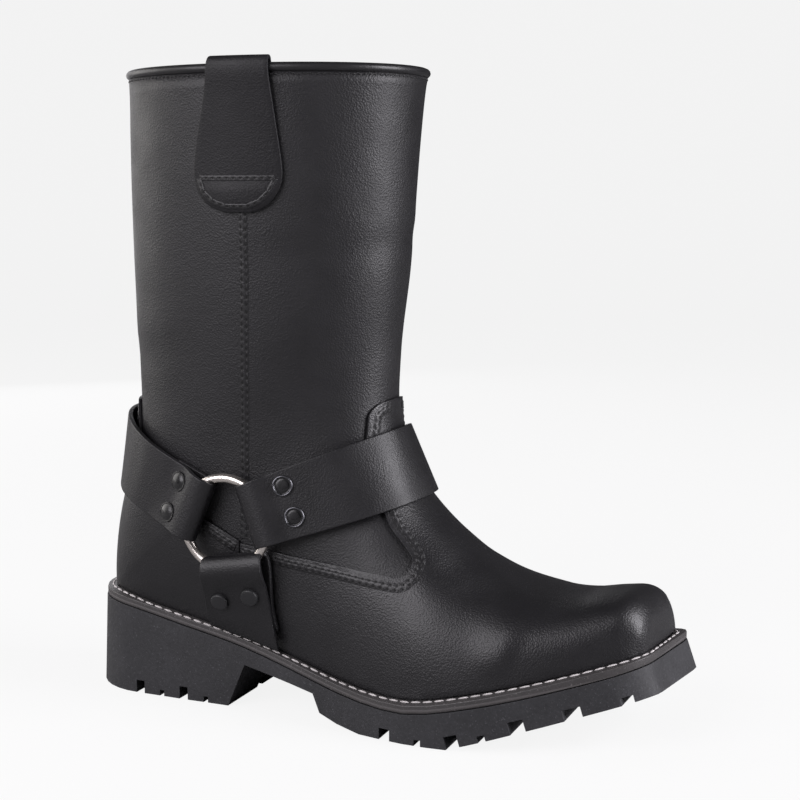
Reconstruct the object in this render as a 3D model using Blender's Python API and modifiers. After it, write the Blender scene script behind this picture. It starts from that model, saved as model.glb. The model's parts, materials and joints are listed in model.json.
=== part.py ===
"""Harness motorcycle boot for the right foot, square toe, lug sole, inside zip.

Lengths below are millimetres. x runs from the back of the heel to the toe, y from the outer
(lateral) side to the inner (medial) side and z up from the floor. Meshes are made in metres.
"""
import math
from collections import namedtuple

import bmesh
import bpy
from mathutils import Vector
from mathutils.bvhtree import BVHTree

MM = 0.001
LATERAL, MEDIAL = -1, 1

# Driving sizes
SOLE_LENGTH = 310.0
HEEL_CENTRE = 34.0          # centre of the round heel, from the back
HEEL_RAKE = 2.5             # the heel's back leans in by this much at the top
TOE_CORNER = 283.0          # where the square toe's corners begin
TOE_FLAT = 19.0             # half of the toe's straight front edge
TOE_SQUARENESS = 2.6
TOE_SKEW = 0.17             # the toe's front edge falls back towards the small toe
TOE_SKEW_FROM = 225.0
TOE_LEAN = 2.4              # the toe's wall stands square on the raised tread: half of its lean
TOE_LEAN_FROM = 258.0
GAP = 0.3                   # clearance between pieces that meet
WALL = 2.6                  # leather and lining of the upper
OVERLAY = 1.4               # leather of a sewn-on panel
WELT_HEIGHT = 5.4           # at its inner edge
WELT_EDGE = 4.3             # at its outer edge
WELT_CLEAR = 1.1            # from the upper to the welt's inner edge
INSOLE_HEIGHT = 4.0
INSOLE_ROOM = 1.4           # between the insole's edge and the upper's inside
HEEL_INSET, TOE_INSET, SIDE_INSET = 9.0, 8.4, 7.0   # from the sole's edge to the upper

# Half-widths of the sole from the line between heel and toe
Plan = namedtuple("Plan", "station lateral medial")
SOLE_PLAN = [
    Plan(0, 32.5, 32.0),
    Plan(34, 33.5, 33.0),
    Plan(62, 35.0, 34.0),
    Plan(90, 36.0, 33.5),
    Plan(115, 39.5, 34.5),
    Plan(140, 45.0, 38.5),
    Plan(165, 51.0, 45.0),
    Plan(188, 56.0, 51.0),
    Plan(205, 57.0, 54.0),
    Plan(222, 55.5, 55.0),
    Plan(245, 51.5, 53.0),
    Plan(268, 45.5, 48.0),
    Plan(290, 39.0, 41.5),
    Plan(310, 33.5, 35.5),
]

# Height of the outsole's upper face along the foot
Seat = namedtuple("Seat", "station height")
SOLE_TOP = [
    Seat(0, 47.2),
    Seat(28, 45.4),
    Seat(55, 40.2),
    Seat(98, 31.2),
    Seat(124, 24.8),
    Seat(158, 16.8),
    Seat(181, 14.2),
    Seat(196, 14.8),
    Seat(221, 19.8),
    Seat(249, 26.6),
    Seat(271, 32.2),
    Seat(295, 38.4),
    Seat(310, 42.6),
]

# Height of the tread's lower face, with straight runs between the rows
TREAD = [
    Seat(0, 0.0),
    Seat(88, 0.0),
    Seat(98, 22.5),
    Seat(139, 15.0),
    Seat(143, 6.0),
    Seat(153, 2.6),
    Seat(166, 0.0),
    Seat(212, 0.0),
    Seat(222, 3.0),
    Seat(233, 6.4),
    Seat(246, 10.4),
    Seat(270, 17.2),
    Seat(296, 24.4),
    Seat(310, 28.2),
]

# Cuts across the tread: full grooves between the lugs and short nicks in the lugs' edges
Cut = namedtuple("Cut", "station width depth reach")
THROUGH = 80.0
TREAD_CUTS = [
    Cut(36, 4.7, 6.5, THROUGH),
    Cut(62, 4.7, 6.5, THROUGH),
    Cut(180.5, 5.6, 5.6, THROUGH),
    Cut(216, 6.4, 6.0, THROUGH),
    Cut(246, 7.2, 6.2, THROUGH),
    Cut(270.5, 8.2, 6.0, THROUGH),
    Cut(294, 5.4, 5.0, THROUGH),
    Cut(49, 2.4, 3.0, 6.0),
    Cut(75, 2.4, 3.0, 6.0),
    Cut(198, 3.2, 3.0, 9.0),
    Cut(230, 3.6, 3.0, 9.0),
]
CHANNEL_WIDTH = 6.0         # groove along the middle of heel and forefoot
CHANNEL_DEPTH = 5.2
HEEL_CHANNEL = (14.0, 92.0)
FOREFOOT_CHANNEL = (160.0, 302.0)

# Sections of the last, from the toe's lower edge over the instep and heel to the collar. Each
# lies in a plane through a top point on the front line and a low point on the sole's edge, or
# on the back line once the sections close behind the heel.
Section = namedtuple("Section", "top_x top_z low_x low_z lateral medial squareness")
FEATHER = None              # the low point lies on the edge of the sole
SECTIONS = [
    Section(301.6, 40.0, 301.6, FEATHER, 14, 14, 3.4),
    Section(301.7, 52.0, 301.1, FEATHER, 16, 16, 3.4),
    Section(299.2, 63.0, 299.4, FEATHER, 22, 22, 3.3),
    Section(291.8, 68.6, 295.2, FEATHER, 27, 28, 3.2),
    Section(280.0, 68.0, 287.0, FEATHER, 31, 33, 3.0),
    Section(258.0, 64.6, 271.0, FEATHER, 37, 39, 2.8),
    Section(236.0, 67.8, 249.0, FEATHER, 43, 45, 2.5),
    Section(214.0, 77.2, 226.0, FEATHER, 47, 47, 2.4),
    Section(193.5, 92.6, 198.0, FEATHER, 49, 46, 2.3),
    Section(179.0, 108.0, 164.0, FEATHER, 45, 42, 2.25),
    Section(170.0, 124.0, 126.0, FEATHER, 40, 38.5, 2.2),
    Section(165.3, 141.0, 88.0, FEATHER, 39.5, 39, 2.2),
    Section(164.6, 156.0, 54.0, FEATHER, 40, 39.5, 2.2),
    Section(165.2, 168.0, 29.0, FEATHER, 40.5, 40.2, 2.2),
    Section(165.8, 176.0, 14.0, FEATHER, 41, 41, 2.2),
    Section(166.2, 182.0, 9.0, FEATHER, 41.4, 41.4, 2.2),
    Section(166.8, 189.0, 10.2, 70.0, 42, 42, 2.2),
    Section(167.8, 198.0, 14.3, 92.0, 43, 43, 2.2),
    Section(169.4, 210.0, 21.5, 118.0, 44.6, 44.6, 2.18),
    Section(171.0, 224.0, 26.4, 146.0, 46.6, 46.6, 2.15),
    Section(172.8, 248.0, 24.6, 190.0, 49.6, 49.6, 2.12),
    Section(175.2, 280.0, 23.6, 248.0, 53.0, 53.0, 2.1),
    Section(178.3, 312.6, 24.6, 312.6, 56.0, 56.0, 2.1),
]
HEEL_ROW = 15               # the section that closes at the back of the heel
LAST_ROW = len(SECTIONS) - 1

# Rows of the upper's faces, counted in sections: toe, waist and heel, shaft
UPPER_ROWS = [0, 1, 2, 2.5, 3, 4, 5, 6, 7, 7.6, 8.2, 8.8, 9.4]
UPPER_ROWS += [10, 10.6, 11.2, 11.8, 12.4, 13, 13.6, 14.3, 15]
UPPER_ROWS += [15.7, 16.4, 17.2, 18, 19, 20, 21, 22]
UPPER_COLUMNS = 26
VAMP_ROWS = UPPER_ROWS[:24]
COUNTER_ROWS = UPPER_ROWS[12:27]

# Side outlines of the sewn-on panels: x, z and corner radius
VAMP_OUTLINE = [
    (98.8, 10, 0), (98.8, 86.0, 0), (125.8, 81.6, 0), (150, 78.6, 0), (172, 75.9, 0),
    (196, 73.2, 5.5), (172.6, 97.6, 40), (157.8, 128, 30), (158.2, 156.4, 9), (190, 157.6, 0),
    (340, 110, 0), (340, 10, 0),
]
COUNTER_OUTLINE = [
    (98.2, 10, 0), (98.2, 87.0, 0), (80, 96.4, 0), (56, 110, 30), (37, 134, 16), (31, 152, 5),
    (-30, 153, 0), (-30, 10, 0),
]

# Harness sizes
STRAP = 2.4                 # leather of one strap layer
STRAP_HALF_WIDTH = 18.2
LOOP_HALF_WIDTH = 16.4      # the straps narrow where they fold round the ring
STRAP_LIFT = 2.5            # from the last to the inner face of a strap, over the panels
RING_RADIUS = 22.6          # of the wire's centre line
RING_WIRE = 2.3             # half the wire's thickness
RING_SEGMENTS, WIRE_SEGMENTS = 34, 8
RING_CENTRE = Vector((94.3, -47.9, 96.6))
REAR_RISE = math.radians(157.5)     # directions of the straps from the ring, seen from the side
FRONT_RISE = math.radians(19.5)
LOWER_RISE = math.radians(-80.5)

# Stations of a harness strap. The lateral end folds round the ring: distance from the ring's
# centre, inner face, outer face (both from the ring's plane, outward positive) and half-width.
Fold = namedtuple("Fold", "distance inner outer half_width")
STRAP_FOLD = [
    Fold(11.8, -2.2, 1.2, LOOP_HALF_WIDTH - 0.6),
    Fold(12.8, -4.2, 3.4, LOOP_HALF_WIDTH),
    Fold(15.5, -5.2, 4.8, LOOP_HALF_WIDTH),
    Fold(20.0, -5.3, 5.1, LOOP_HALF_WIDTH),
    Fold(24.5, -5.3, 4.8, LOOP_HALF_WIDTH + 0.3),
    Fold(28.5, -5.3, 2.4, LOOP_HALF_WIDTH + 0.5),
    Fold(33.0, -5.3, 0.2, LOOP_HALF_WIDTH + 0.8),
]
# Round the boot: the rest of the strap by angle about an axis inside the boot, from the outer
# side (90) over the back or front (0) to the inner side (-90), with extra lift of both edges
Wrap = namedtuple("Wrap", "angle upper_lift lower_lift")
REAR_WRAP = [
    Wrap(88, 2.0, 1.8), Wrap(71, 1.6, 1.2), Wrap(54, 1.2, 0.8), Wrap(43, 1.2, 0.4),
    Wrap(33, 1.6, 0.2), Wrap(24, 2.2, 0.0), Wrap(15, 2.6, 0.0), Wrap(5, 3.0, 0.0),
    Wrap(-5, 3.0, 0.0), Wrap(-15, 2.6, 0.0), Wrap(-24, 2.2, 0.0), Wrap(-33, 1.6, 0.2),
    Wrap(-43, 1.0, 0.3), Wrap(-54, 0.6, 0.3), Wrap(-70, 0.4, 0.3), Wrap(-88, 0.4, 0.3),
]
FRONT_WRAP = [Wrap(76, 2.2, 1.6), Wrap(60, 1.2, 0.8), Wrap(46, 0.6, 0.4)]
FRONT_WRAP += [Wrap(angle, 0.4, 0.2) for angle in (34, 24, 15, 7, 0, -7, -15, -24, -34, -46, -60, -76)]
REAR_TURN = 40.0            # from the ring's centre to that axis
FRONT_TURN = 48.0
# The sewn inner end: distance from the ring's line and half-width of its rounded end
End = namedtuple("End", "distance half_width")
REAR_ENDS = [End(28.0, 18.2), End(16.0, 18.2), End(5.5, 18.2), End(2.6, 16.4), End(0.8, 12.0)]
FRONT_ENDS = [End(36.0, 18.2), End(29.5, 18.2), End(26.4, 16.4), End(24.6, 12.0)]

# The lower strap hangs from the ring to the welt: height, rear edge, front edge
Drop = namedtuple("Drop", "height rear front")
LOWER_DROPS = [Drop(53.0, 81.0, 116.2), Drop(47.0, 81.3, 117.6)]
LOWER_FOOT = (81.6, 120.0)
LOWER_HANG = 3.4            # its fold lies this much further from the ring's centre
LOWER_NARROWER = 0.8        # than the other straps, at each edge of its fold

# Rivet caps: x and z seen from the side, a pair on each strap, and their radius by height
RIVETS = [(69.4, 116.1), (62.7, 100.2), (125.1, 117.4), (131.2, 102.5), (90.3, 57.1), (107.1, 61.0)]
RIVET_PROFILE = [(4.4, 0.0), (4.4, 0.6), (3.7, 1.3), (2.2, 1.6)]
RIVET_SIDES = 10

# Rolled edge on the collar's rim
BINDING_HALF_WIDTH = 2.6
BINDING_HALF_HEIGHT = 2.1

# Pull strap, from its sewn end over the rim and down inside: height, lift off the last, edges
PULL_LEATHER = 1.9
Pull = namedtuple("Pull", "height lift rear front")
PULL_STRAP = [
    Pull(248.3, 0.4, 100.0, 111.6), Pull(251.0, 0.4, 92.4, 118.6), Pull(256.0, 0.4, 86.8, 124.0),
    Pull(263.0, 0.4, 84.0, 127.4), Pull(272.0, 0.5, 84.2, 127.6), Pull(286.0, 0.7, 87.2, 126.2),
    Pull(300.0, 1.2, 89.8, 124.8), Pull(311.0, 1.8, 91.2, 123.9), Pull(316.0, 1.9, 91.6, 123.8),
    Pull(318.2, 0.9, 91.8, 123.6), Pull(318.6, -1.3, 92.0, 123.4), Pull(318.2, -3.5, 92.2, 123.2),
    Pull(316.0, -4.6, 92.4, 123.0), Pull(310.0, -4.6, 92.6, 122.8), Pull(296.0, -3.4, 93.0, 122.4),
    Pull(276.0, -3.2, 94.0, 121.6),
]
PULL_COLUMNS = 6

# Inner side: closed zip, its two leather edges, the flap over its top and the patch behind
Strip = namedtuple("Strip", "height rear front")
ZIP_HEIGHTS = [308, 290, 268, 246, 224, 200, 178, 156, 134, 118, 104, 94, 86, 74, 62, 50, 41]
PANEL_TOP = 90.0            # the vamp and counter lie under the zip's edges below this
ZIP_LINE = 105.6            # the closed zip seen from the side
PLACKET_WIDTH = 10.4
PLACKET_LEATHER = 1.2
CHAIN_HALF_WIDTH = 0.55
CHAIN_HEIGHT = 0.6
FLAP_LEATHER = 1.5
FLAP_LIFT = 2.2             # the flap lies over the zip's edges
PATCH_LEATHER = 1.0
PIECE_LIFT = 0.4            # from the last to the underside of a flat piece sewn on it
FLAP_ROWS = [
    Strip(309.0, 84.0, 121.0), Strip(305.0, 74.0, 121.0), Strip(298.0, 68.6, 121.0),
    Strip(288.0, 66.6, 121.0), Strip(274.0, 67.6, 121.0), Strip(258.0, 70.6, 121.0),
    Strip(244.0, 75.0, 121.0), Strip(234.0, 81.0, 121.0), Strip(226.0, 91.0, 121.0),
    Strip(219.0, 104.0, 120.8), Strip(213.5, 115.0, 120.2),
]
PATCH_ROWS = [
    Strip(294.0, 63.5, 78.0), Strip(290.0, 60.6, 78.0), Strip(283.0, 59.2, 78.0),
    Strip(275.0, 59.6, 78.0), Strip(269.0, 61.6, 78.0), Strip(266.0, 64.8, 78.0),
]

# Colours, linear
LEATHER = (0.020, 0.019, 0.020)
RUBBER = (0.016, 0.016, 0.017)
WELT_GREY = (0.045, 0.042, 0.040)
BOARD = (0.05, 0.045, 0.04)
NICKEL = (0.62, 0.58, 0.52)
BLACK_PAINT = (0.012, 0.012, 0.013)
BLACK_TAPE = (0.01, 0.01, 0.01)


def smooth(keys, values, at):
    """Cubic through a short table, with the ends held."""
    if at <= keys[0]:
        return values[0]
    if at >= keys[-1]:
        return values[-1]
    i = max(n for n in range(len(keys) - 1) if keys[n] <= at)

    def slope(n):
        before, after = max(n - 1, 0), min(n + 1, len(keys) - 1)
        return (values[after] - values[before]) / (keys[after] - keys[before])

    span = keys[i + 1] - keys[i]
    t = (at - keys[i]) / span
    return ((2 * t**3 - 3 * t**2 + 1) * values[i] + (t**3 - 2 * t**2 + t) * span * slope(i)
            + (3 * t**2 - 2 * t**3) * values[i + 1] + (t**3 - t**2) * span * slope(i + 1))


def column(table, name):
    return [getattr(row, name) for row in table]


PLAN_STATIONS = column(SOLE_PLAN, "station")
PLAN_WIDTHS = {LATERAL: column(SOLE_PLAN, "lateral"), MEDIAL: column(SOLE_PLAN, "medial")}


def table_width(station, side):
    return smooth(PLAN_STATIONS, PLAN_WIDTHS[side], station)


def sole_half_width(station, side):
    """From the foot's line to the sole's edge: round at the heel, square at the toe."""
    width = table_width(station, side)
    if station < HEEL_CENTRE:
        reach = (HEEL_CENTRE - station) / HEEL_CENTRE
        return width * math.sqrt(max(0.0, 1 - reach**2))
    if station > TOE_CORNER:
        reach = min(1.0, (station - TOE_CORNER) / (SOLE_LENGTH - TOE_CORNER))
        corner = (1 - reach**TOE_SQUARENESS) ** (1 / TOE_SQUARENESS)
        return TOE_FLAT + (width - TOE_FLAT) * corner
    return width


def feather_half_width(station, side):
    """From the foot's line to the upper's lower edge, inside the sole's edge."""
    share = (station - HEEL_INSET) / (SOLE_LENGTH - HEEL_INSET - TOE_INSET)
    on_sole = min(max(share, 0.0), 1.0) * SOLE_LENGTH
    return sole_half_width(on_sole, side) * (1 - SIDE_INSET / table_width(on_sole, side))


def skewed(x, y, z):
    """Turns the toe's front edge a little, so the big toe leads."""
    share = min(max((x - TOE_SKEW_FROM) / (SOLE_LENGTH - TOE_SKEW_FROM), 0.0), 1.0)
    return Vector((x + TOE_SKEW * share**2 * (y - TOE_FLAT), y, z))


def station_at(x, y):
    """Station on the straight foot of a place on the skewed one."""
    station = x
    for _ in range(6):
        station += x - skewed(station, y, 0.0).x
    return station


def sole_top(station):
    return smooth(column(SOLE_TOP, "station"), column(SOLE_TOP, "height"), station)


def feather_height(station):
    return sole_top(station) + GAP


SECTION_KEYS = list(range(len(SECTIONS)))
SECTION_COLUMNS = {name: column(SECTIONS, name) for name in Section._fields if name != "low_z"}
BACK_KEYS = SECTION_KEYS[HEEL_ROW:]
BACK_HEIGHTS = ([feather_height(SECTIONS[HEEL_ROW].low_x)]
                + [row.low_z for row in SECTIONS[HEEL_ROW + 1:]])


def signed_power(value, power):
    return math.copysign(abs(value) ** power, value)


def last_point(u, row):
    """Point of the last: u from -1 (lateral sole edge) over 0 (top line) to 1 (medial edge)."""
    at = {name: smooth(SECTION_KEYS, values, row) for name, values in SECTION_COLUMNS.items()}
    side = LATERAL if u < 0 else MEDIAL
    middle = at["lateral"] if u < 0 else at["medial"]
    if row <= HEEL_ROW:
        low_z, edge = feather_height(at["low_x"]), feather_half_width(at["low_x"], side)
    else:
        low_z, edge = smooth(BACK_KEYS, BACK_HEIGHTS, row), 0.0
    if row == 0:
        return skewed(at["low_x"], edge * u, low_z)
    middle = max(middle, edge)
    power = 2 / at["squareness"]
    first = math.asin(min(1.0, (edge / middle) ** (1 / power)))
    angle = first + (math.pi - first) * (1 - abs(u))
    start = signed_power(math.cos(first), power) if first < math.pi / 2 else 0.0
    rise = (start - signed_power(math.cos(angle), power)) / (start + 1)
    y = side * middle * abs(math.sin(angle)) ** power
    return skewed(at["low_x"] + rise * (at["top_x"] - at["low_x"]), y,
                  low_z + rise * (at["top_z"] - low_z))


def last_grid(rows, columns):
    """Points and faces of the last, open along the sole's edge and at the collar."""
    points, index = [], []
    for row in rows:
        closed = row >= HEEL_ROW
        line = []
        for i in range(columns + 1):
            if closed and i == columns:
                line.append(line[0])
                continue
            line.append(len(points))
            points.append(last_point(2 * i / columns - 1, row))
        index.append(line)
    faces = []
    for near, far in zip(index, index[1:]):
        for i in range(columns):
            a, b, c, d = near[i], near[i + 1], far[i + 1], far[i]
            if (points[a] - points[c]).length < (points[b] - points[d]).length:
                halves = ([a, b, c], [a, c, d])
            else:
                halves = ([a, b, d], [b, c, d])
            faces += [half for half in halves if len(set(half)) == 3]
    return points, faces


# Sole stations: close together round the heel and at the toe's corners
SOLE_STATIONS = [HEEL_CENTRE * (1 - math.cos(math.radians(90 * i / 8))) for i in range(9)]
SOLE_STATIONS += [48, 62, 76, 88, 98, 111, 125, 139, 143, 153, 166, 178, 190, 202, 212, 222, 233]
SOLE_STATIONS += [246, 258, 270, 277]
SOLE_STATIONS += [TOE_CORNER + (SOLE_LENGTH - TOE_CORNER) * math.sin(math.radians(90 * i / 7))
                  for i in range(8)]
TREAD_STATIONS, TREAD_HEIGHTS = column(TREAD, "station"), column(TREAD, "height")


boot = bpy.data.collections.new("motorcycle_boot")
tools = bpy.data.collections.new("cutters")
for old in list(bpy.data.objects):
    bpy.data.objects.remove(old)
for group in (boot, tools):
    bpy.context.scene.collection.children.link(group)
root = bpy.data.objects.new("boot", None)
boot.objects.link(root)

FORM = BVHTree.FromPolygons(*last_grid(UPPER_ROWS, UPPER_COLUMNS))


def material(name, colour, roughness, metallic=0.0):
    made = bpy.data.materials.new(name)
    made.use_nodes = True
    shader = made.node_tree.nodes["Principled BSDF"]
    shader.inputs["Base Color"].default_value = (*colour, 1.0)
    shader.inputs["Roughness"].default_value = roughness
    shader.inputs["Metallic"].default_value = metallic
    made.diffuse_color = (*colour, 1.0)
    return made


def add_object(name, mesh, colour=None, roughness=0.5, metallic=0.0):
    """A named piece with its own material, or a cutter when no colour is given."""
    made = bpy.data.objects.new(name, mesh)
    if colour is None:
        tools.objects.link(made)
        made.hide_render = True
        made.display_type = "WIRE"
    else:
        boot.objects.link(made)
        mesh.materials.append(material(name, colour, roughness, metallic))
    made.parent = root
    return made


def mesh_of(name, points, faces, closed=True):
    """Mesh in metres from millimetre points; a closed one has its faces turned outward."""
    work = bmesh.new()
    corners = [work.verts.new(Vector(point) * MM) for point in points]
    for face in faces:
        work.faces.new([corners[i] for i in face])
    if closed:
        bmesh.ops.remove_doubles(work, verts=work.verts, dist=0.02 * MM)
        bmesh.ops.recalc_face_normals(work, faces=work.faces)
    mesh = bpy.data.meshes.new(name)
    work.to_mesh(mesh)
    work.free()
    return mesh


def loft(rings, cap=True):
    """Points and faces through rings of equal length, each ring closed."""
    points = [point for ring in rings for point in ring]
    size = len(rings[0])
    faces = []
    for r in range(len(rings) - 1):
        for i in range(size):
            j = (i + 1) % size
            faces.append([r * size + i, r * size + j, (r + 1) * size + j, (r + 1) * size + i])
    if cap:
        faces.append(list(range(size)))
        faces.append([(len(rings) - 1) * size + i for i in range(size)])
    return points, faces


def sheet(lines):
    """Points and faces of an open sheet through lines of equal length."""
    points = [point for line in lines for point in line]
    size = len(lines[0])
    faces = []
    for r in range(len(lines) - 1):
        for i in range(size - 1):
            here, after = r * size + i, (r + 1) * size + i
            faces.append([here, here + 1, after + 1, after])
    return points, faces


def solidify(piece, thickness, offset):
    wall = piece.modifiers.new("wall", "SOLIDIFY")
    wall.thickness = thickness * MM
    wall.offset = offset
    wall.use_even_offset = True
    wall.use_quality_normals = True
    return wall


def cut(piece, cutter, operation="DIFFERENCE"):
    step = piece.modifiers.new(cutter.name, "BOOLEAN")
    step.operation = operation
    step.object = cutter
    step.solver = "EXACT"


def lift_points(points, faces, lift):
    """Moves a sheet's points outward along its normals."""
    work = bmesh.new()
    corners = [work.verts.new(point) for point in points]
    for face in faces:
        work.faces.new([corners[i] for i in face])
    work.normal_update()
    moved = [corner.co + corner.normal * lift for corner in corners]
    work.free()
    return moved


def strike(origin, direction):
    """Where a ray from outside meets the last, and the outward normal there."""
    place, normal, _, _ = FORM.ray_cast(Vector(origin), Vector(direction).normalized())
    if normal.dot(Vector(direction)) > 0:
        normal = -normal
    return place, normal


def on_side(x, z, side, lift):
    """Point of the last's outer or inner side at x and z, moved off it by lift."""
    place, normal = strike((x, side * 200.0, z), (0, -side, 0))
    return place + normal * lift


def tread(station):
    i = max(n for n in range(len(TREAD) - 1) if TREAD_STATIONS[n] <= station)
    share = (station - TREAD_STATIONS[i]) / (TREAD_STATIONS[i + 1] - TREAD_STATIONS[i])
    return TREAD_HEIGHTS[i] + share * (TREAD_HEIGHTS[i + 1] - TREAD_HEIGHTS[i])


def toe_lean(station):
    share = max(0.0, (station - TOE_LEAN_FROM) / (SOLE_LENGTH - TOE_LEAN_FROM))
    return TOE_LEAN * share**2


def raked(station):
    """Station of the sole's upper edge, which leans in at the back of the heel and at the toe."""
    if station >= HEEL_CENTRE:
        return station - toe_lean(station)
    return HEEL_RAKE + station * (HEEL_CENTRE - HEEL_RAKE) / HEEL_CENTRE


def plate(stations, half_width, low, high, rake=False):
    """Solid between two heights along the foot, as wide as the outline."""
    rings = []
    for station in stations:
        left = LATERAL * half_width(station, LATERAL)
        right = MEDIAL * half_width(station, MEDIAL)
        upper = raked(station) if rake else station
        lower = station + toe_lean(station) if rake else station
        rings.append([skewed(lower, left, low(station)), skewed(lower, right, low(station)),
                      skewed(upper, right, high(upper)), skewed(upper, left, high(upper))])
    return loft(rings)


def box(name, centre, size, turn=0.0):
    """Box cutter, turned about y."""
    work = bmesh.new()
    bmesh.ops.create_cube(work, size=1.0)
    bmesh.ops.scale(work, vec=Vector(size) * MM, verts=work.verts)
    mesh = bpy.data.meshes.new(name)
    work.to_mesh(mesh)
    work.free()
    made = add_object(name, mesh)
    made.location = Vector(centre) * MM
    made.rotation_euler = (0, turn, 0)
    return made


def build_outsole():
    outsole = add_object("outsole", mesh_of("outsole", *plate(
        SOLE_STATIONS, sole_half_width, tread, sole_top, rake=True)), RUBBER, 0.62)
    for number, groove in enumerate(TREAD_CUTS):
        step = 0.5 * groove.width
        slope = (tread(groove.station + step) - tread(groove.station - step)) / groove.width
        for side in (LATERAL, MEDIAL):
            if groove.reach == THROUGH and side == MEDIAL:
                continue
            width = sole_half_width(groove.station, side)
            middle = 0.0 if groove.reach == THROUGH else side * (width - groove.reach / 2 + 4)
            across = 2 * THROUGH if groove.reach == THROUGH else groove.reach + 8
            tool = box(f"groove_{number}_{'outer' if side == LATERAL else 'inner'}",
                       (groove.station, middle, tread(groove.station) + groove.depth / 2 - 4),
                       (groove.width, across, groove.depth + 8), -math.atan(slope))
            cut(outsole, tool)
    for name, (first, last) in (("heel", HEEL_CHANNEL), ("forefoot", FOREFOOT_CHANNEL)):
        stops = [first] + [s for s in TREAD_STATIONS if first < s < last and s != 98] + [last]
        height = tread if name == "forefoot" else (lambda station: 0.0)
        channel = plate(stops, lambda station, side: CHANNEL_WIDTH / 2,
                        lambda station: height(station) - 6,
                        lambda station: height(station) + CHANNEL_DEPTH)
        cut(outsole, add_object(f"{name}_channel", mesh_of(f"{name}_channel", *channel)))


def sole_edge():
    """Points once round the sole's upper edge in plan, starting at the back of the heel."""
    out = [skewed(raked(s), LATERAL * sole_half_width(s, LATERAL), 0.0) for s in SOLE_STATIONS]
    front = [skewed(raked(SOLE_LENGTH), share * TOE_FLAT, 0.0) for share in (-0.5, 0.0, 0.5)]
    back = [skewed(raked(s), MEDIAL * sole_half_width(s, MEDIAL), 0.0)
            for s in reversed(SOLE_STATIONS)]
    return out + front + back[:-1]


def welt_top(station):
    return sole_top(station) + WELT_HEIGHT


def build_welt():
    edge = sole_edge()
    rings = []
    for i in range(len(edge)):
        along = edge[(i + 1) % len(edge)] - edge[i - 1]
        outward = Vector((along.y, -along.x, 0)).normalized()
        if outward.dot(edge[i] - Vector((150, 0, 0))) < 0:
            outward = -outward
        station = station_at(edge[i].x, edge[i].y)
        reach = edge[i] - outward * 0.4
        inner = []
        for rise in (1.6, WELT_HEIGHT + 0.2):
            height = sole_top(station) + rise
            place, _ = strike(edge[i] + outward * 30 + Vector((0, 0, height)), -outward)
            height = sole_top(station_at(place.x, place.y)) + rise
            place, _ = strike(edge[i] + outward * 30 + Vector((0, 0, height)), -outward)
            inner.append(place + outward * WELT_CLEAR)
        floor = [sole_top(station_at(place.x, place.y)) for place in (reach, inner[0], inner[1])]
        rings.append([Vector((reach.x, reach.y, floor[0] + GAP)),
                      Vector((inner[0].x, inner[0].y, floor[1] + GAP)),
                      Vector((inner[1].x, inner[1].y, floor[2] + WELT_HEIGHT)),
                      Vector((reach.x, reach.y, floor[0] + WELT_EDGE))])
    rings.append(rings[0])
    add_object("welt", mesh_of("welt", *loft(rings, cap=False)), WELT_GREY, 0.6)


def insole_half_width(station, side):
    """Inside the upper's wall, also where the wall turns round the heel and the toe."""
    nearer_end = station + WALL if station > SOLE_LENGTH / 2 else station - WALL
    return max(feather_half_width(nearer_end, side) - WALL - INSOLE_ROOM, 0.5)


def build_insole():
    first = HEEL_INSET + 2 * WALL + INSOLE_ROOM
    last = SOLE_LENGTH - TOE_INSET - 2 * WALL - INSOLE_ROOM
    stations = [first + (last - first) * s / SOLE_LENGTH for s in SOLE_STATIONS]
    add_object("insole", mesh_of("insole", *plate(
        stations, insole_half_width, feather_height,
        lambda station: feather_height(station) + INSOLE_HEIGHT)), BOARD, 0.85)


def build_upper():
    points, faces = last_grid(UPPER_ROWS, UPPER_COLUMNS)
    upper = add_object("upper", mesh_of("upper", points, faces, closed=False), LEATHER, 0.42)
    solidify(upper, WALL, -1.0)


def rounded(corners, steps=4):
    """Outline in x and z whose corners, given with a radius, are turned into arcs."""
    out = []
    for i, (x, z, radius) in enumerate(corners):
        here = Vector((x, z))
        if radius == 0:
            out.append(here)
            continue
        before = (Vector(corners[i - 1][:2]) - here).normalized()
        after = (Vector(corners[(i + 1) % len(corners)][:2]) - here).normalized()
        half = math.acos(max(-1.0, min(1.0, before.dot(after)))) / 2
        centre = here + (before + after).normalized() * radius / math.sin(half)
        start, end = here + before * radius / math.tan(half), here + after * radius / math.tan(half)
        for n in range(steps + 1):
            spoke = (start - centre).lerp(end - centre, n / steps).normalized()
            out.append(centre + spoke * radius)
    return out


def prism(name, outline, near=-120.0, far=120.0):
    """Cutter with an outline in x and z, running across the boot."""
    rings = [[Vector((x, y, z)) for x, z in outline] for y in (near, far)]
    return add_object(name, mesh_of(name, *loft(rings)))


def build_panels():
    """Vamp and counter: the upper's own sheet, lifted, thickened and cut to a side outline."""
    room = plate(SOLE_STATIONS, lambda station, side: sole_half_width(station, side) + 15.0,
                 lambda station: sole_top(station) - 30.0,
                 lambda station: welt_top(station) + 0.5)
    welt_room = add_object("welt_room", mesh_of("welt_room", *room))
    for name, outline, rows in (
            ("vamp", VAMP_OUTLINE, VAMP_ROWS), ("counter", COUNTER_OUTLINE, COUNTER_ROWS)):
        points, faces = last_grid(rows, UPPER_COLUMNS)
        points = lift_points(points, faces, GAP)
        panel = add_object(name, mesh_of(name, points, faces, closed=False), LEATHER, 0.4)
        solidify(panel, OVERLAY, 1.0)
        cut(panel, prism(f"{name}_outline", rounded(outline)), "INTERSECT")
        cut(panel, welt_room)


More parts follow.
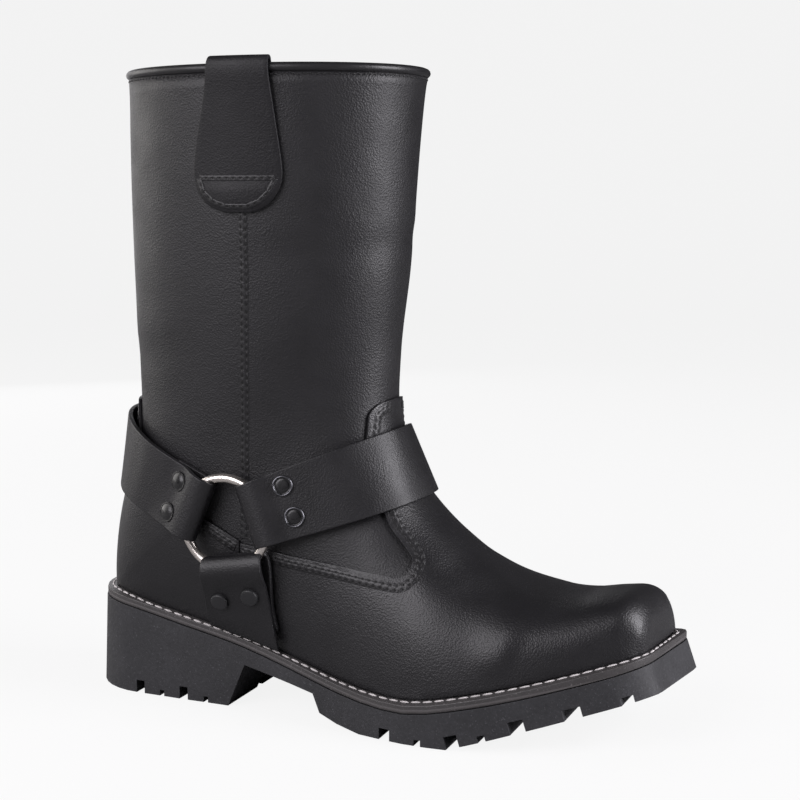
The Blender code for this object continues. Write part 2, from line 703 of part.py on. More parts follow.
def strap_rings(rise, wraps, turn_at, ends):
    """Rings of four corners down a strap: inner low, inner high, outer high, outer low."""
    along, across = strap_axes(rise)
    rings = []
    for fold in STRAP_FOLD:
        middle = RING_CENTRE + along * fold.distance
        edge = across * fold.half_width
        inner, outer = Vector((0, -fold.inner, 0)), Vector((0, -fold.outer, 0))
        rings.append([middle - edge + inner, middle + edge + inner,
                      middle + edge + outer, middle - edge + outer])
    axis = Vector((RING_CENTRE.x, 0, RING_CENTRE.z)) + along * turn_at
    for wrap in wraps:
        angle = math.radians(wrap.angle)
        outward = along * math.cos(angle) + Vector((0, -math.sin(angle), 0))
        rings.append(ruled(axis, across, outward, STRAP_HALF_WIDTH, wrap.upper_lift, wrap.lower_lift))
    for end in ends:
        place = axis + along * (end.distance - turn_at)
        rings.append(ruled(place, across, Vector((0, 1, 0)), end.half_width, 0.2, 0.2))
    return rings


def ruled(axis, across, outward, half_width, upper_lift, lower_lift):
    """One straight line across the strap that clears the boot, and its outer copy."""
    shares = [-1 + 0.25 * i for i in range(9)]
    hits = [strike(axis + across * half_width * share + outward * 220, -outward)[0]
            for share in shares]
    low, high = hits[0], hits[-1]
    need = max((hit - low.lerp(high, (share + 1) / 2)).dot(outward)
               for share, hit in zip(shares, hits))
    lean = abs(strike(axis + outward * 220, -outward)[1].dot(outward))
    clear = (STRAP_LIFT + max(need, 0.0) * lean) / max(lean, 0.6)
    low = low + outward * (clear + lower_lift)
    high = high + outward * (clear + upper_lift)
    return [low, high, high + outward * STRAP, low + outward * STRAP]


def build_strap(name, rings, ring_room):
    strap = add_object(name, mesh_of(name, *loft(rings)), LEATHER, 0.38)
    cut(strap, ring_room)


def strap_axes(rise):
    along = Vector((math.cos(rise), 0, math.sin(rise)))
    across = Vector((-along.z, 0, along.x))
    return along, across if across.z > 0 else -across


def build_harness():
    room = torus("ring_room", RING_WIRE + GAP)
    torus("harness_ring", RING_WIRE, NICKEL)
    rear = strap_rings(REAR_RISE, REAR_WRAP, REAR_TURN, REAR_ENDS)
    build_strap("strap_rear", rear, room)
    front = strap_rings(FRONT_RISE, FRONT_WRAP, FRONT_TURN, FRONT_ENDS)
    build_strap("strap_front", front, room)
    build_strap("strap_lower", lower_strap_rings(), room)


def lower_strap_rings():
    along, across = strap_axes(LOWER_RISE)
    rings = []
    for fold in STRAP_FOLD:
        middle = RING_CENTRE + along * (fold.distance + LOWER_HANG)
        edge = across * (fold.half_width - LOWER_NARROWER)
        inner, outer = Vector((0, -fold.inner, 0)), Vector((0, -fold.outer, 0))
        rings.append([middle - edge + inner, middle + edge + inner,
                      middle + edge + outer, middle - edge + outer])
    for drop in LOWER_DROPS:
        rear = on_side(drop.rear, drop.height, LATERAL, 0.0)
        front = on_side(drop.front, drop.height, LATERAL, 0.0)
        inner = min(rear.y, front.y) - STRAP_LIFT
        rear_in = Vector((drop.rear, inner, drop.height))
        front_in = Vector((drop.front, inner, drop.height))
        thick = Vector((0, -2 * STRAP, 0))
        rings.append([rear_in, front_in, front_in + thick, rear_in + thick])
    corners = []
    for x in LOWER_FOOT:
        z = welt_top(x) + 2 * GAP
        place = on_side(x, z + 1.0, LATERAL, 0.0)
        corners.append(Vector((x, place.y - STRAP_LIFT, z)))
    thick = Vector((0, -2 * STRAP, 0))
    rings.append([corners[0], corners[1], corners[1] + thick, corners[0] + thick])
    return rings


def torus(name, wire, colour=None):
    """Ring in the x-z plane with its origin on its own axis, at the harness centre."""
    rings = []
    for i in range(RING_SEGMENTS):
        turn = 2 * math.pi * i / RING_SEGMENTS
        spoke = Vector((math.cos(turn), 0, math.sin(turn)))
        ring = []
        for k in range(WIRE_SEGMENTS):
            swing = 2 * math.pi * (k + 0.5) / WIRE_SEGMENTS
            ring.append(spoke * (RING_RADIUS + wire * math.cos(swing))
                        + Vector((0, wire * math.sin(swing), 0)))
        rings.append(ring)
    rings.append(rings[0])
    made = add_object(name, mesh_of(name, *loft(rings, cap=False)), colour, 0.18, 1.0)
    made.location = RING_CENTRE * MM
    return made


def build_rivets():
    bpy.context.view_layer.update()
    graph = bpy.context.evaluated_depsgraph_get()
    straps = []
    for name in ("strap_rear", "strap_front", "strap_lower"):
        straps.append(BVHTree.FromObject(bpy.data.objects[name], graph))
    for number, (x, z) in enumerate(RIVETS):
        place, normal, _, _ = straps[number // 2].ray_cast(
            Vector((x, -200.0, z)) * MM, Vector((0, 1, 0)))
        side = normal.cross(Vector((0, 0, 1))).normalized()
        up = side.cross(normal)
        turns = [2 * math.pi * i / RIVET_SIDES for i in range(RIVET_SIDES)]
        spokes = [side * math.cos(turn) + up * math.sin(turn) for turn in turns]
        proud = 0.0
        for spoke in spokes:
            for share in (0.3, 0.6, 0.8, 1.0):
                start = place + (spoke * RIVET_PROFILE[0][0] * share + normal * 20) * MM
                under, _, _, _ = straps[number // 2].ray_cast(start, -normal)
                proud = max(proud, (under - place).dot(normal) / MM)
        rings = []
        for radius, height in RIVET_PROFILE:
            centre = place / MM + normal * (proud + height + GAP)
            rings.append([centre + spoke * radius for spoke in spokes])
        add_object(f"rivet_{number + 1}", mesh_of(f"rivet_{number + 1}", *loft(rings)),
                   BLACK_PAINT, 0.22, 0.6)


def build_binding():
    """Rolled edge that sits on the collar's rim."""
    rings = []
    for i in range(UPPER_COLUMNS):
        u = 2 * i / UPPER_COLUMNS - 1
        rim = last_point(u, LAST_ROW)
        aside = last_point(u + 0.01, LAST_ROW) - last_point(u - 0.01 if u > -1 else 0.99, LAST_ROW)
        outward = Vector((aside.y, -aside.x, 0)).normalized()
        if outward.dot(rim - Vector((101.5, 0, rim.z))) < 0:
            outward = -outward
        middle = rim - outward * WALL / 2 + Vector((0, 0, GAP + BINDING_HALF_HEIGHT))
        ring = []
        for k in range(6):
            swing = 2 * math.pi * (k + 0.5) / 6
            reach = BINDING_HALF_WIDTH * math.cos(swing) / math.cos(math.pi / 6)
            ring.append(middle + outward * reach
                        + Vector((0, 0, BINDING_HALF_HEIGHT * math.sin(swing))))
        rings.append(ring)
    rings.append(rings[0])
    add_object("collar_binding", mesh_of("collar_binding", *loft(rings, cap=False)), LEATHER, 0.35)


def build_pull_strap():
    lines = []
    for row in PULL_STRAP:
        line = []
        for i in range(PULL_COLUMNS):
            x = row.rear + (row.front - row.rear) * i / (PULL_COLUMNS - 1)
            place, normal = strike((x, -200.0, min(row.height, 312.0)), (0, 1, 0))
            normal = Vector((normal.x, normal.y, 0)).normalized()
            line.append(Vector((place.x, place.y, row.height)) + normal * row.lift)
        lines.append(line)
    points, faces = sheet(lines)
    strap = add_object("pull_strap", mesh_of("pull_strap", points, faces, closed=False), LEATHER, 0.4)
    solidify(strap, PULL_LEATHER, 1.0)


def medial_sheet(name, rows, columns, thickness, lift, colour=LEATHER, roughness=0.4):
    lines = []
    for row in rows:
        line = []
        for i in range(columns):
            x = row.rear + (row.front - row.rear) * i / (columns - 1)
            line.append(on_side(x, row.height, MEDIAL, lift(x, row.height)))
        lines.append(line)
    points, faces = sheet(lines)
    piece = add_object(name, mesh_of(name, points, faces, closed=False), colour, roughness)
    solidify(piece, thickness, 1.0)


def zip_lift(x, height):
    share = min(max((PANEL_TOP + 14.0 - height) / 12.0, 0.0), 1.0)
    return PIECE_LIFT + share * (GAP + OVERLAY)


def build_zip():
    aside = CHAIN_HALF_WIDTH + GAP
    for name, rear, front in (
            ("zip_placket_rear", ZIP_LINE - aside - PLACKET_WIDTH, ZIP_LINE - aside),
            ("zip_placket_front", ZIP_LINE + aside, ZIP_LINE + aside + PLACKET_WIDTH)):
        foot = welt_top((rear + front) / 2) + 2.2
        rows = [Strip(z, rear, front) for z in ZIP_HEIGHTS if z > foot] + [Strip(foot, rear, front)]
        medial_sheet(name, rows, 3, PLACKET_LEATHER, zip_lift)
    rows = [Strip(z, ZIP_LINE - CHAIN_HALF_WIDTH, ZIP_LINE + CHAIN_HALF_WIDTH) for z in ZIP_HEIGHTS]
    medial_sheet("zip_chain", rows, 2, CHAIN_HEIGHT, zip_lift, BLACK_TAPE, 0.5)
    medial_sheet("flap_patch", PATCH_ROWS, 4, PATCH_LEATHER, lambda x, z: PIECE_LIFT)
    medial_sheet("zip_flap", FLAP_ROWS, 8, FLAP_LEATHER, lambda x, z: FLAP_LIFT)


def centre_boot():
    """Moves the boot so that its box stands centred on the origin."""
    bpy.context.view_layer.update()
    graph = bpy.context.evaluated_depsgraph_get()
    corners = []
    for piece in boot.objects:
        if piece.type == "MESH":
            solid = piece.evaluated_get(graph)
            corners += [solid.matrix_world @ Vector(corner) for corner in solid.bound_box]
    for axis in (0, 1):
        reach = [corner[axis] for corner in corners]
        root.location[axis] = -(min(reach) + max(reach)) / 2


build_outsole()
build_welt()
build_insole()
build_upper()
build_panels()
build_harness()
build_rivets()
build_binding()
build_pull_strap()
build_zip()
centre_boot()
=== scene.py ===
"""Looks of a right-foot harness motorcycle boot: leather, seams, rubber, metal and the studio.

Lengths are millimetres in the boot's own directions, x from the back of the heel to the toe, y from
the outer (lateral) side to the inner (medial) side and z up from the floor. A finished piece is
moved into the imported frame, which is in metres.
"""
import json
import math
from collections import namedtuple
from functools import lru_cache

import bmesh
import bpy
from bpy.props import FloatProperty, FloatVectorProperty, PointerProperty
from mathutils import Matrix, Vector, noise
from mathutils.bvhtree import BVHTree


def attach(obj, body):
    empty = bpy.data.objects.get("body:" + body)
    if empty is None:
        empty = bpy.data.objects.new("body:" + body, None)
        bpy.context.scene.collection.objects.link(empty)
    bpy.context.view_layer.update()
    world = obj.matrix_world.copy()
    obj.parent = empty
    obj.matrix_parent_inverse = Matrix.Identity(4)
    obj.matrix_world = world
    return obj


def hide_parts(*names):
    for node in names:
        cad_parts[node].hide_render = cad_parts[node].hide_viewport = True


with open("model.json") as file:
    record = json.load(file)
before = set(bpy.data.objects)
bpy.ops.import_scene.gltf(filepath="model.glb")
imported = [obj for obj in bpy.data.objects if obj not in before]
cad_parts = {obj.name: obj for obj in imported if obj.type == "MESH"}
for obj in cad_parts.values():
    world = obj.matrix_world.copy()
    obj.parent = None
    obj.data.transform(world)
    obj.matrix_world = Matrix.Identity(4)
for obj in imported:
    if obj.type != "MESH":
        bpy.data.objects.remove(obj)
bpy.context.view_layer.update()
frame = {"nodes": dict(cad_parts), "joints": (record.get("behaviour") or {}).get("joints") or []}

bl_info = {
    "name": "Harness Motorcycle Boot",
    "version": (1, 0, 0),
    "blender": (4, 5, 0),
    "location": "3D View > Sidebar > Boot",
    "description": "Dresses the boot's solids in leather, thread, rubber and metal",
    "category": "Object",
}

MM = 0.001
HOLE_PAINTED_SHADE = "hole_depth"   # attributes that the materials read, for painted shade in needle holes and a painted highlight on the welt
WELT_RISE = "welt_rise"
LATERAL, MEDIAL = -1, 1
BOTH = 0
RING_CENTRE = Vector((94.3, -47.9, 96.6))
HEEL_BACK = Vector(frame["joints"][0]["pos_m"]) - RING_CENTRE * MM
TO_FRAME = Matrix.Translation(HEEL_BACK) @ Matrix.Scale(MM, 4)
FROM_FRAME = TO_FRAME.inverted()
FAR = 200.0                 # rays towards the boot start this far out
WELD = 0.01                 # points nearer than this are made one

# Sole and last, the sizes that the solids were made from
SOLE_LENGTH = 310.0
HEEL_CENTRE = 34.0
TOE_CORNER = 283.0
TOE_FLAT = 19.0
TOE_SQUARENESS = 2.6
TOE_SKEW = 0.17
TOE_SKEW_FROM = 225.0
TOE_LEAN = 2.4
TOE_LEAN_FROM = 258.0
HEEL_RAKE = 2.5
GAP = 0.3
WALL = 2.6
OVERLAY = 1.4
WELT_HEIGHT = 5.4
HEEL_INSET, TOE_INSET, SIDE_INSET = 9.0, 8.4, 7.0

Plan = namedtuple("Plan", "station lateral medial")
SOLE_PLAN = [
    Plan(0, 32.5, 32.0), Plan(34, 33.5, 33.0), Plan(62, 35.0, 34.0), Plan(90, 36.0, 33.5),
    Plan(115, 39.5, 34.5), Plan(140, 45.0, 38.5), Plan(165, 51.0, 45.0), Plan(188, 56.0, 51.0),
    Plan(205, 57.0, 54.0), Plan(222, 55.5, 55.0), Plan(245, 51.5, 53.0), Plan(268, 45.5, 48.0),
    Plan(290, 39.0, 41.5), Plan(310, 33.5, 35.5),
]
Seat = namedtuple("Seat", "station height")
SOLE_TOP = [
    Seat(0, 47.2), Seat(28, 45.4), Seat(55, 40.2), Seat(98, 31.2), Seat(124, 24.8),
    Seat(158, 16.8), Seat(181, 14.2), Seat(196, 14.8), Seat(221, 19.8), Seat(249, 26.6),
    Seat(271, 32.2), Seat(295, 38.4), Seat(310, 42.6),
]
Section = namedtuple("Section", "top_x top_z low_x low_z lateral medial squareness")
FEATHER = None
SECTIONS = [
    Section(301.6, 40.0, 301.6, FEATHER, 14, 14, 3.4),
    Section(301.7, 52.0, 301.1, FEATHER, 16, 16, 3.4),
    Section(299.2, 63.0, 299.4, FEATHER, 22, 22, 3.3),
    Section(291.8, 68.6, 295.2, FEATHER, 27, 28, 3.2),
    Section(280.0, 68.0, 287.0, FEATHER, 31, 33, 3.0),
    Section(258.0, 64.6, 271.0, FEATHER, 37, 39, 2.8),
    Section(236.0, 67.8, 249.0, FEATHER, 43, 45, 2.5),
    Section(214.0, 77.2, 226.0, FEATHER, 47, 47, 2.4),
    Section(193.5, 92.6, 198.0, FEATHER, 49, 46, 2.3),
    Section(179.0, 108.0, 164.0, FEATHER, 45, 42, 2.25),
    Section(170.0, 124.0, 126.0, FEATHER, 40, 38.5, 2.2),
    Section(165.3, 141.0, 88.0, FEATHER, 39.5, 39, 2.2),
    Section(164.6, 156.0, 54.0, FEATHER, 40, 39.5, 2.2),
    Section(165.2, 168.0, 29.0, FEATHER, 40.5, 40.2, 2.2),
    Section(165.8, 176.0, 14.0, FEATHER, 41, 41, 2.2),
    Section(166.2, 182.0, 9.0, FEATHER, 41.4, 41.4, 2.2),
    Section(166.8, 189.0, 10.2, 70.0, 42, 42, 2.2),
    Section(167.8, 198.0, 14.3, 92.0, 43, 43, 2.2),
    Section(169.4, 210.0, 21.5, 118.0, 44.6, 44.6, 2.18),
    Section(171.0, 224.0, 26.4, 146.0, 46.6, 46.6, 2.15),
    Section(172.8, 248.0, 24.6, 190.0, 49.6, 49.6, 2.12),
    Section(175.2, 280.0, 23.6, 248.0, 53.0, 53.0, 2.1),
    Section(178.3, 312.6, 24.6, 312.6, 56.0, 56.0, 2.1),
]
HEEL_ROW = 15
LAST_ROW = len(SECTIONS) - 1
SKIN_COLUMNS = 104

# Side outlines of the sewn-on panels: x, z and corner radius
VAMP_OUTLINE = [
    (98.8, 10, 0), (98.8, 86.0, 0), (125.8, 81.6, 0), (150, 78.6, 0), (172, 75.9, 0),
    (196, 73.2, 5.5), (172.6, 97.6, 40), (157.8, 128, 30), (158.2, 156.4, 9), (190, 157.6, 0),
    (340, 110, 0), (340, 10, 0),
]
COUNTER_OUTLINE = [
    (98.2, 10, 0), (98.2, 87.0, 0), (80, 96.4, 0), (56, 110, 30), (37, 134, 16), (31, 152, 5),
    (-30, 153, 0), (-30, 10, 0),
]
VAMP_EDGE = ((98.8, 86.0), (190, 157.6))        # ends of the sewn stretch of each outline
COUNTER_EDGE = ((98.2, 87.0), (-30, 153))
OUTLINE_MIDDLE = 60         # corners below this height are replaced by the welt's line
FOOT_STEPS = 22
PANEL_FOOT = 0.6            # from the welt's top to a panel's lower edge
TOE_FOOT = 1.5              # more of it where the toe is skewed
CUT_MARGIN = 0.5            # faces this near a cut are looked at
CUT_SNAP = 0.02
BORDER_WELD = 0.7           # points this near the border are drawn onto it
SLIVER = 0.05

# Soft troughs (negative depth) and ridges of the leather, with the width on each side of a fold's line
Crease = namedtuple("Crease", "side x z turn length above below depth")
CREASES = [
    Crease(LATERAL, 146, 231, 4, 30, 7.0, 7.0, -0.6),
    Crease(LATERAL, 148, 241, 4, 28, 8.0, 8.0, 0.3),
    Crease(MEDIAL, 146, 238, -4, 26, 5.5, 5.5, -0.8),
    Crease(MEDIAL, 148, 246, -4, 24, 6.0, 6.0, 0.5),
    Crease(BOTH, 44, 178, 10, 22, 8.0, 8.0, -0.5),
    Crease(BOTH, 46, 190, 8, 22, 9.0, 9.0, 0.3),
    Crease(LATERAL, 236, 46, 66, 15, 14.0, 3.6, 1.5),
    Crease(LATERAL, 294.5, 50, 86, 14, 4.0, 1.8, 1.0),
    Crease(MEDIAL, 238, 47, 66, 15, 14.0, 3.6, 1.3),
    Crease(MEDIAL, 296.5, 51, 86, 14, 4.0, 1.8, 0.8),
    Crease(BOTH, 208, 80, 40, 16, 7.0, 7.0, -0.4),
]
UNDULATION = 0.3            # slack of the leather between seams
UNDULATION_SIZE = 42.0
SMOOTHING = 16              # rounds that take the kinks between the last's sections out of the leather
TOE_CRISP = 264.0           # ahead of this the toe keeps its corners
CREASE_REACH = 2.5          # a crease has faded out at this many times its length or width
CREASE_FADE = (-10, 14)     # across the foot's line, where a crease of one side fades in
SLACK_UPRIGHT = 0.7         # makes the slack's waves longer upward than round the boot
WELT_CALM = 14              # the slack grows over this much above the welt's top
COLLAR_CALM, COLLAR_STILL = 20, 306     # and fades over this much below this height

# Harness
STRAP = 2.4
STRAP_HALF_WIDTH = 18.2
LOOP_HALF_WIDTH = 15.9      # the straps narrow towards the fold round the ring
LOOP_WIDENS = (12, 62)      # from the ring's centre, where they widen again
TURN_REACH = 18             # about the radius of a strap's turn round the boot
EDGE_CLEAR = 1.8            # a strap's solid is read this far inside its edges
RING_RADIUS = 22.6
RING_WIRE = 2.3
RING_SIDES, RING_STEPS = 20, 96
REAR_RISE = math.radians(157.5)
FRONT_RISE = math.radians(19.5)
LOWER_RISE = math.radians(-80.5)
REAR_TURN = 40.0
FRONT_TURN = 48.0
STRAP_SHARES = (-1, -0.97, -0.82, -0.5, -0.17, 0.17, 0.5, 0.82, 0.97, 1)

# Middle of a strap's leather round the ring: distance from the ring's centre, height off its plane
Fold = namedtuple("Fold", "distance height")
FOLD_UNDER = [
    Fold(37.0, -3.9), Fold(31.0, -4.1), Fold(25.0, -4.2), Fold(18.6, -4.0), Fold(15.0, -3.1),
    Fold(13.2, -1.5),
]
FOLD_OVER = [
    Fold(12.9, 0.2), Fold(13.6, 2.3), Fold(15.6, 3.9), Fold(18.6, 4.6), Fold(22.0, 4.1),
    Fold(25.4, 2.3), Fold(28.6, 0.3), Fold(31.8, -0.9),
]
STRAIGHT_AT = (37.0, 41.0, 45.0)    # flat stretch before the strap turns round the boot
REAR_ANGLES = [78 - 8.3 * i for i in range(21)]
FRONT_ANGLES = [74 - 8.2 * i for i in range(19)]
End = namedtuple("End", "distance half_width")
REAR_ENDS = [
    End(28.0, 18.2), End(20.0, 18.2), End(12.0, 18.2), End(6.0, 18.0), End(3.0, 16.2), End(1.4, 12.4),
]
FRONT_ENDS = [End(37.0, 18.2), End(33.0, 18.2), End(29.6, 17.8), End(26.8, 16.2), End(25.2, 12.4)]
Drop = namedtuple("Drop", "height rear front")
LOWER_UNDER = [Drop(43.5, 83.0, 119.8), Drop(49.0, 83.0, 118.5), Drop(55.0, 83.0, 117.2)]
LOWER_OVER = [Drop(53.0, 81.0, 116.9), Drop(47.0, 81.3, 117.7)]
LOWER_FOOT = (81.6, 119.6)
LOWER_HANG = 3.4            # the lower strap's fold lies this much further from the ring's centre
LOWER_NARROWER = 0.8        # and is narrower by this much at each edge
LOWER_FLARE = 2.4           # its rear edge widens by this much below the fold
FLARE_FROM = (14, 33)       # over these distances from the ring's centre
LOWER_WIDER = 2.4           # its front edge is wider by this much at the fold
WIDER_TO = (16, 35)         # and narrows over these distances
LOWER_CLEAR = 1.0           # from the welt's top to its foot
UNDER_PEEK = 1.3            # its under layer shows by this much at the front edge
UNDER_LIFT = 2.6            # and lies this far off the boot

# Rivets: x and z seen from the side, and radius by height for the three kinds of cap
RIVETS = [(69.4, 116.1), (62.7, 100.2), (125.1, 117.4), (131.2, 102.5), (90.3, 57.1), (107.1, 61.0)]
DOME = [(5.0, -0.5), (5.0, 0.4), (4.85, 0.75), (4.5, 0.85), (4.2, 0.72), (3.9, 0.8), (3.0, 1.2),
        (1.6, 1.48), (0.0, 1.56)]
SNAP = [(5.1, -0.5), (5.1, 0.55), (4.98, 0.95), (4.7, 1.2), (4.35, 1.2), (4.1, 0.95), (4.0, 0.5),
        (3.7, 0.34), (3.3, 0.34), (3.1, 0.52), (2.7, 0.6), (1.4, 0.62), (0.0, 0.63)]
SNAP_RIM = 3.95             # the bare metal rim lies outside this radius
FLAT_CAP = [(4.5, -0.5), (4.5, 1.1), (4.4, 1.5), (4.1, 1.78), (3.6, 1.88), (2.0, 1.93), (0.0, 1.95)]
RIVET_CAPS = (DOME, SNAP, FLAT_CAP)
RIVET_PAINTS = ("rivet", "rivet", "rivet_flat")
RIVET_STEPS = 48

# Collar, pull strap and the inner side
BINDING_HALF_WIDTH = 2.7
BINDING_HALF_HEIGHT = 2.3
BINDING_OVER = 0.1          # the piping closes over the shaft's edge by this much
BINDING_SIDES = 14
COLLAR_MIDDLE = 101.5       # x of the collar's middle
PULL_LEATHER = 1.9
Pull = namedtuple("Pull", "height lift rear front")
PULL_STRAP = [
    Pull(248.3, 0.4, 100.0, 111.6), Pull(251.0, 0.4, 92.4, 118.6), Pull(256.0, 0.4, 86.8, 124.0),
    Pull(263.0, 0.4, 84.0, 127.4), Pull(272.0, 0.5, 84.2, 127.6), Pull(286.0, 0.7, 87.2, 126.2),
    Pull(300.0, 1.2, 90.8, 124.8), Pull(311.0, 1.8, 93.0, 123.9), Pull(316.0, 1.9, 93.6, 123.8),
    Pull(318.2, 0.9, 93.8, 123.6), Pull(318.6, -1.3, 93.9, 123.4), Pull(318.2, -3.5, 94.0, 123.2),
    Pull(316.0, -4.6, 94.1, 123.0), Pull(310.0, -4.6, 94.2, 122.8), Pull(296.0, -3.4, 94.5, 122.4),
    Pull(276.0, -3.2, 95.0, 121.6),
]
PULL_SEAM = 264.0           # height of the row across the pull strap, over its padded end
PULL_SEAM_ENDS = (86.8, 124.8)
PULL_SEAM_INSET = 2.4
PULL_PUFF = 1.1             # the padded end's height, with where it rises and falls
PULL_PUFF_RISE, PULL_PUFF_FALL = (247, 254), (258, PULL_SEAM)
PULL_ROOF = 312.0           # the strap's form is read from the shaft below this height
PULL_FINE, PULL_COLUMNS = 4, 14
PULL_END_ROWS = 5           # rows of the table that the end's seam follows
Strip = namedtuple("Strip", "height rear front")
PANEL_TOP = 90.0
ZIP_TOP = 308.0
ZIP_LINE = 105.6
PLACKET_WIDTH = 10.4
PLACKET_LEATHER = 1.2
CHAIN_HALF_WIDTH = 0.55
CHAIN_HEIGHT = 0.6
CHAIN_FOOT = 41.0
PLACKET_FOOT = 2.2          # from the welt's top to a placket's lower edge
ZIP_CLIMB = (14.0, 2.0)     # over the panels' top, where the zip climbs onto them
ZIP_SEAM_ENDS = (306, 38)
ZIP_STEPS, FLAP_STEPS, PATCH_STEPS = 70, 40, 16
PLACKET_COLUMNS, FLAP_COLUMNS, PATCH_COLUMNS = 7, 19, 9
FLAP_LEATHER = 1.5
FLAP_LIFT = 2.2
PATCH_LEATHER = 1.0
PIECE_LIFT = 0.4
FLAP_ROWS = [
    Strip(309.0, 84.0, 121.0), Strip(305.0, 74.0, 121.0), Strip(298.0, 68.6, 121.0),
    Strip(288.0, 66.6, 121.0), Strip(274.0, 67.6, 121.0), Strip(258.0, 70.6, 121.0),
    Strip(244.0, 75.0, 121.0), Strip(234.0, 81.0, 121.0), Strip(226.0, 91.0, 121.0),
    Strip(219.0, 104.0, 120.8), Strip(213.5, 115.0, 120.2),
]
PATCH_ROWS = [
    Strip(294.0, 63.5, 78.0), Strip(290.0, 60.6, 78.0), Strip(283.0, 59.2, 78.0),
    Strip(275.0, 59.6, 78.0), Strip(269.0, 61.6, 78.0), Strip(266.0, 64.8, 78.0),
]

# Rows of stitches: the middle of a double row in from a panel's edge, and the shaft's side seam
SEAM_INSET = 4.1
SEAM_HALF = 1.25            # from the middle of a double row to each row
SIDE_SEAM = [(107.6, 248.0), (106.6, 215.8), (105.0, 187.5), (102.0, 135.3), (100.4, 88.0)]
COLLAR_SEAM = 311.7
COLLAR_STEPS = 360
# The leather beside the stitches: it swells between the rows and dips at every needle hole
SEAM_MARGIN = 1.5           # from a row to the edge of the swelling
SEAM_SWELL = 0.36
SEAM_SINK = 0.07            # the swelling's edges lie this far under the leather
SEAM_FLOOR = 0.03           # and its holes this far over it
THREAD_GROOVE = 0.3         # share of the swelling that the thread presses down
THREAD_LIFT = 0.12
STITCH_SHARE, WELT_STITCH_SHARE = 0.6, 0.84     # a stitch's length as a share of its pitch
STITCH_FLAT = 0.8           # and its height as a share of its width
STITCH_SIDES, STITCH_RINGS = 8, 6
PLACKET_SEAM = 3.1          # from a placket's outer edge to the middle of its double row
SEAM_STEP = 0.45
HOLE_LENGTH, HOLE_WIDTH = 1.05, 0.8
SEAM_SKIN = 0.3             # thickness of the swelling's leather
ROW_STAGGER = 0.3           # share of a stitch by which the second row lags
SWELL_FLAT = 0.45           # share of the swelling's width after which it slopes down
DOUBLE_ROW = (-SEAM_HALF, SEAM_HALF)
SINGLE_ROW = (0.0,)
Spot = namedtuple("Spot", "distance share")
STRAP_END_SEAM = [
    Spot(15, -1), Spot(5, -1), Spot(2.8, -0.84), Spot(2.2, -0.6), Spot(2.2, 0.6), Spot(2.8, 0.84),
    Spot(5, 1), Spot(15, 1), Spot(15, -1),
]
STRAP_SEAM_INSET = 2.6
WELT_SEAM_OUT = 3.4         # from the upper to the middle of the welt's stitches
WELT_PROBE = 30             # the upper is looked for from this far outside the sole's edge
WELT_CLEAR = 0.6            # and this far over the welt's top
WELT_SHEEN_LINE_AT = 0.3          # share of the welt's height at which its painted highlight line runs
SOLE_MIDDLE = 150           # x of the sole's middle
QUARTER_STEPS, SIDE_STEPS = 30, 70

# Studio: bearings are measured from the camera, to the right
CAMERA_BEARING = math.radians(22.3)
Softbox = namedtuple("Softbox", "name bearing height width tall share colour")
SOFTBOXES = [
    Softbox("left_softbox", -112, 0.52, 1.0, 0.9, 0.14, (1.0, 0.97, 0.95)),
    Softbox("right_softbox", 70, 0.6, 0.7, 1.1, 0.52, (0.97, 0.95, 1.0)),
    Softbox("front_softbox", -48, 0.8, 1.2, 1.1, 0.38, (0.98, 0.95, 1.0)),
    Softbox("rear_softbox", 200, 0.42, 1.0, 0.7, 0.06, (0.98, 0.97, 1.0)),
]
SOFTBOX_DISTANCE = 1.35
SOFTBOX_AIM = 0.15
DIM_FLOOR = 0.34            # how pale the floor is in the light that it gives back to the boot
FLOOR_PROFILE = [(0.0, 0.0), (2.4, 0.0), (2.9, 0.06), (3.3, 0.25), (3.6, 0.6), (3.75, 1.1), (3.8, 2.6)]
FLOOR_STEPS = 64


def length_setting(name, description, default, least):
    return FloatProperty(name=name, description=description, default=default, min=least, unit="LENGTH")


def colour_setting(name, description, default):
    return FloatVectorProperty(
        name=name, description=description, subtype="COLOR", default=default, min=0.0, max=1.0)


class BootSizes(bpy.types.PropertyGroup):
    """Sizes of the boot's finish that a user would change."""
    seam_pitch: length_setting("Seam pitch", "From one leather stitch to the next", 0.0036, least=0.001)
    seam_thread: length_setting("Seam thread", "Thickness of the leather's thread", 0.00085, least=0.0002)
    collar_pitch: length_setting(
        "Collar pitch", "From one stitch below the collar's piping to the next", 0.0028, least=0.001)
    welt_pitch: length_setting("Welt pitch", "From one welt stitch to the next", 0.0059, least=0.001)
    welt_thread: length_setting("Welt thread", "Thickness of the welt's thread", 0.0013, least=0.0002)
    grain: length_setting("Grain", "Width of one pebble of the leather's grain", 0.0009, least=0.0002)
    edge_round: length_setting("Rubber edge", "Rounding of the sole's moulded edges", 0.0006, least=0.0)


class BootColours(bpy.types.PropertyGroup):
    """Colours of the boot's materials."""
    leather: colour_setting(
        "Leather", "Black leather of upper, panels and straps", (0.00875, 0.00826, 0.00966))
    lining: colour_setting("Lining", "Textile inside the upper", (0.02, 0.019, 0.019))
    rubber: colour_setting("Rubber", "Moulded rubber of the outsole", (0.03, 0.03, 0.033))
    welt: colour_setting("Welt", "Edge strip between upper and sole", (0.055, 0.051, 0.051))
    thread: colour_setting("Thread", "Stitches of the leather", (0.011, 0.0105, 0.0115))
    welt_thread: colour_setting("Welt thread", "Pale stitches on the welt", (0.62, 0.59, 0.58))
    nickel: colour_setting("Ring", "Polished nickel of the ring", (0.78, 0.73, 0.68))
    paint: colour_setting("Rivet paint", "Black paint of the rivets", (0.012, 0.012, 0.013))


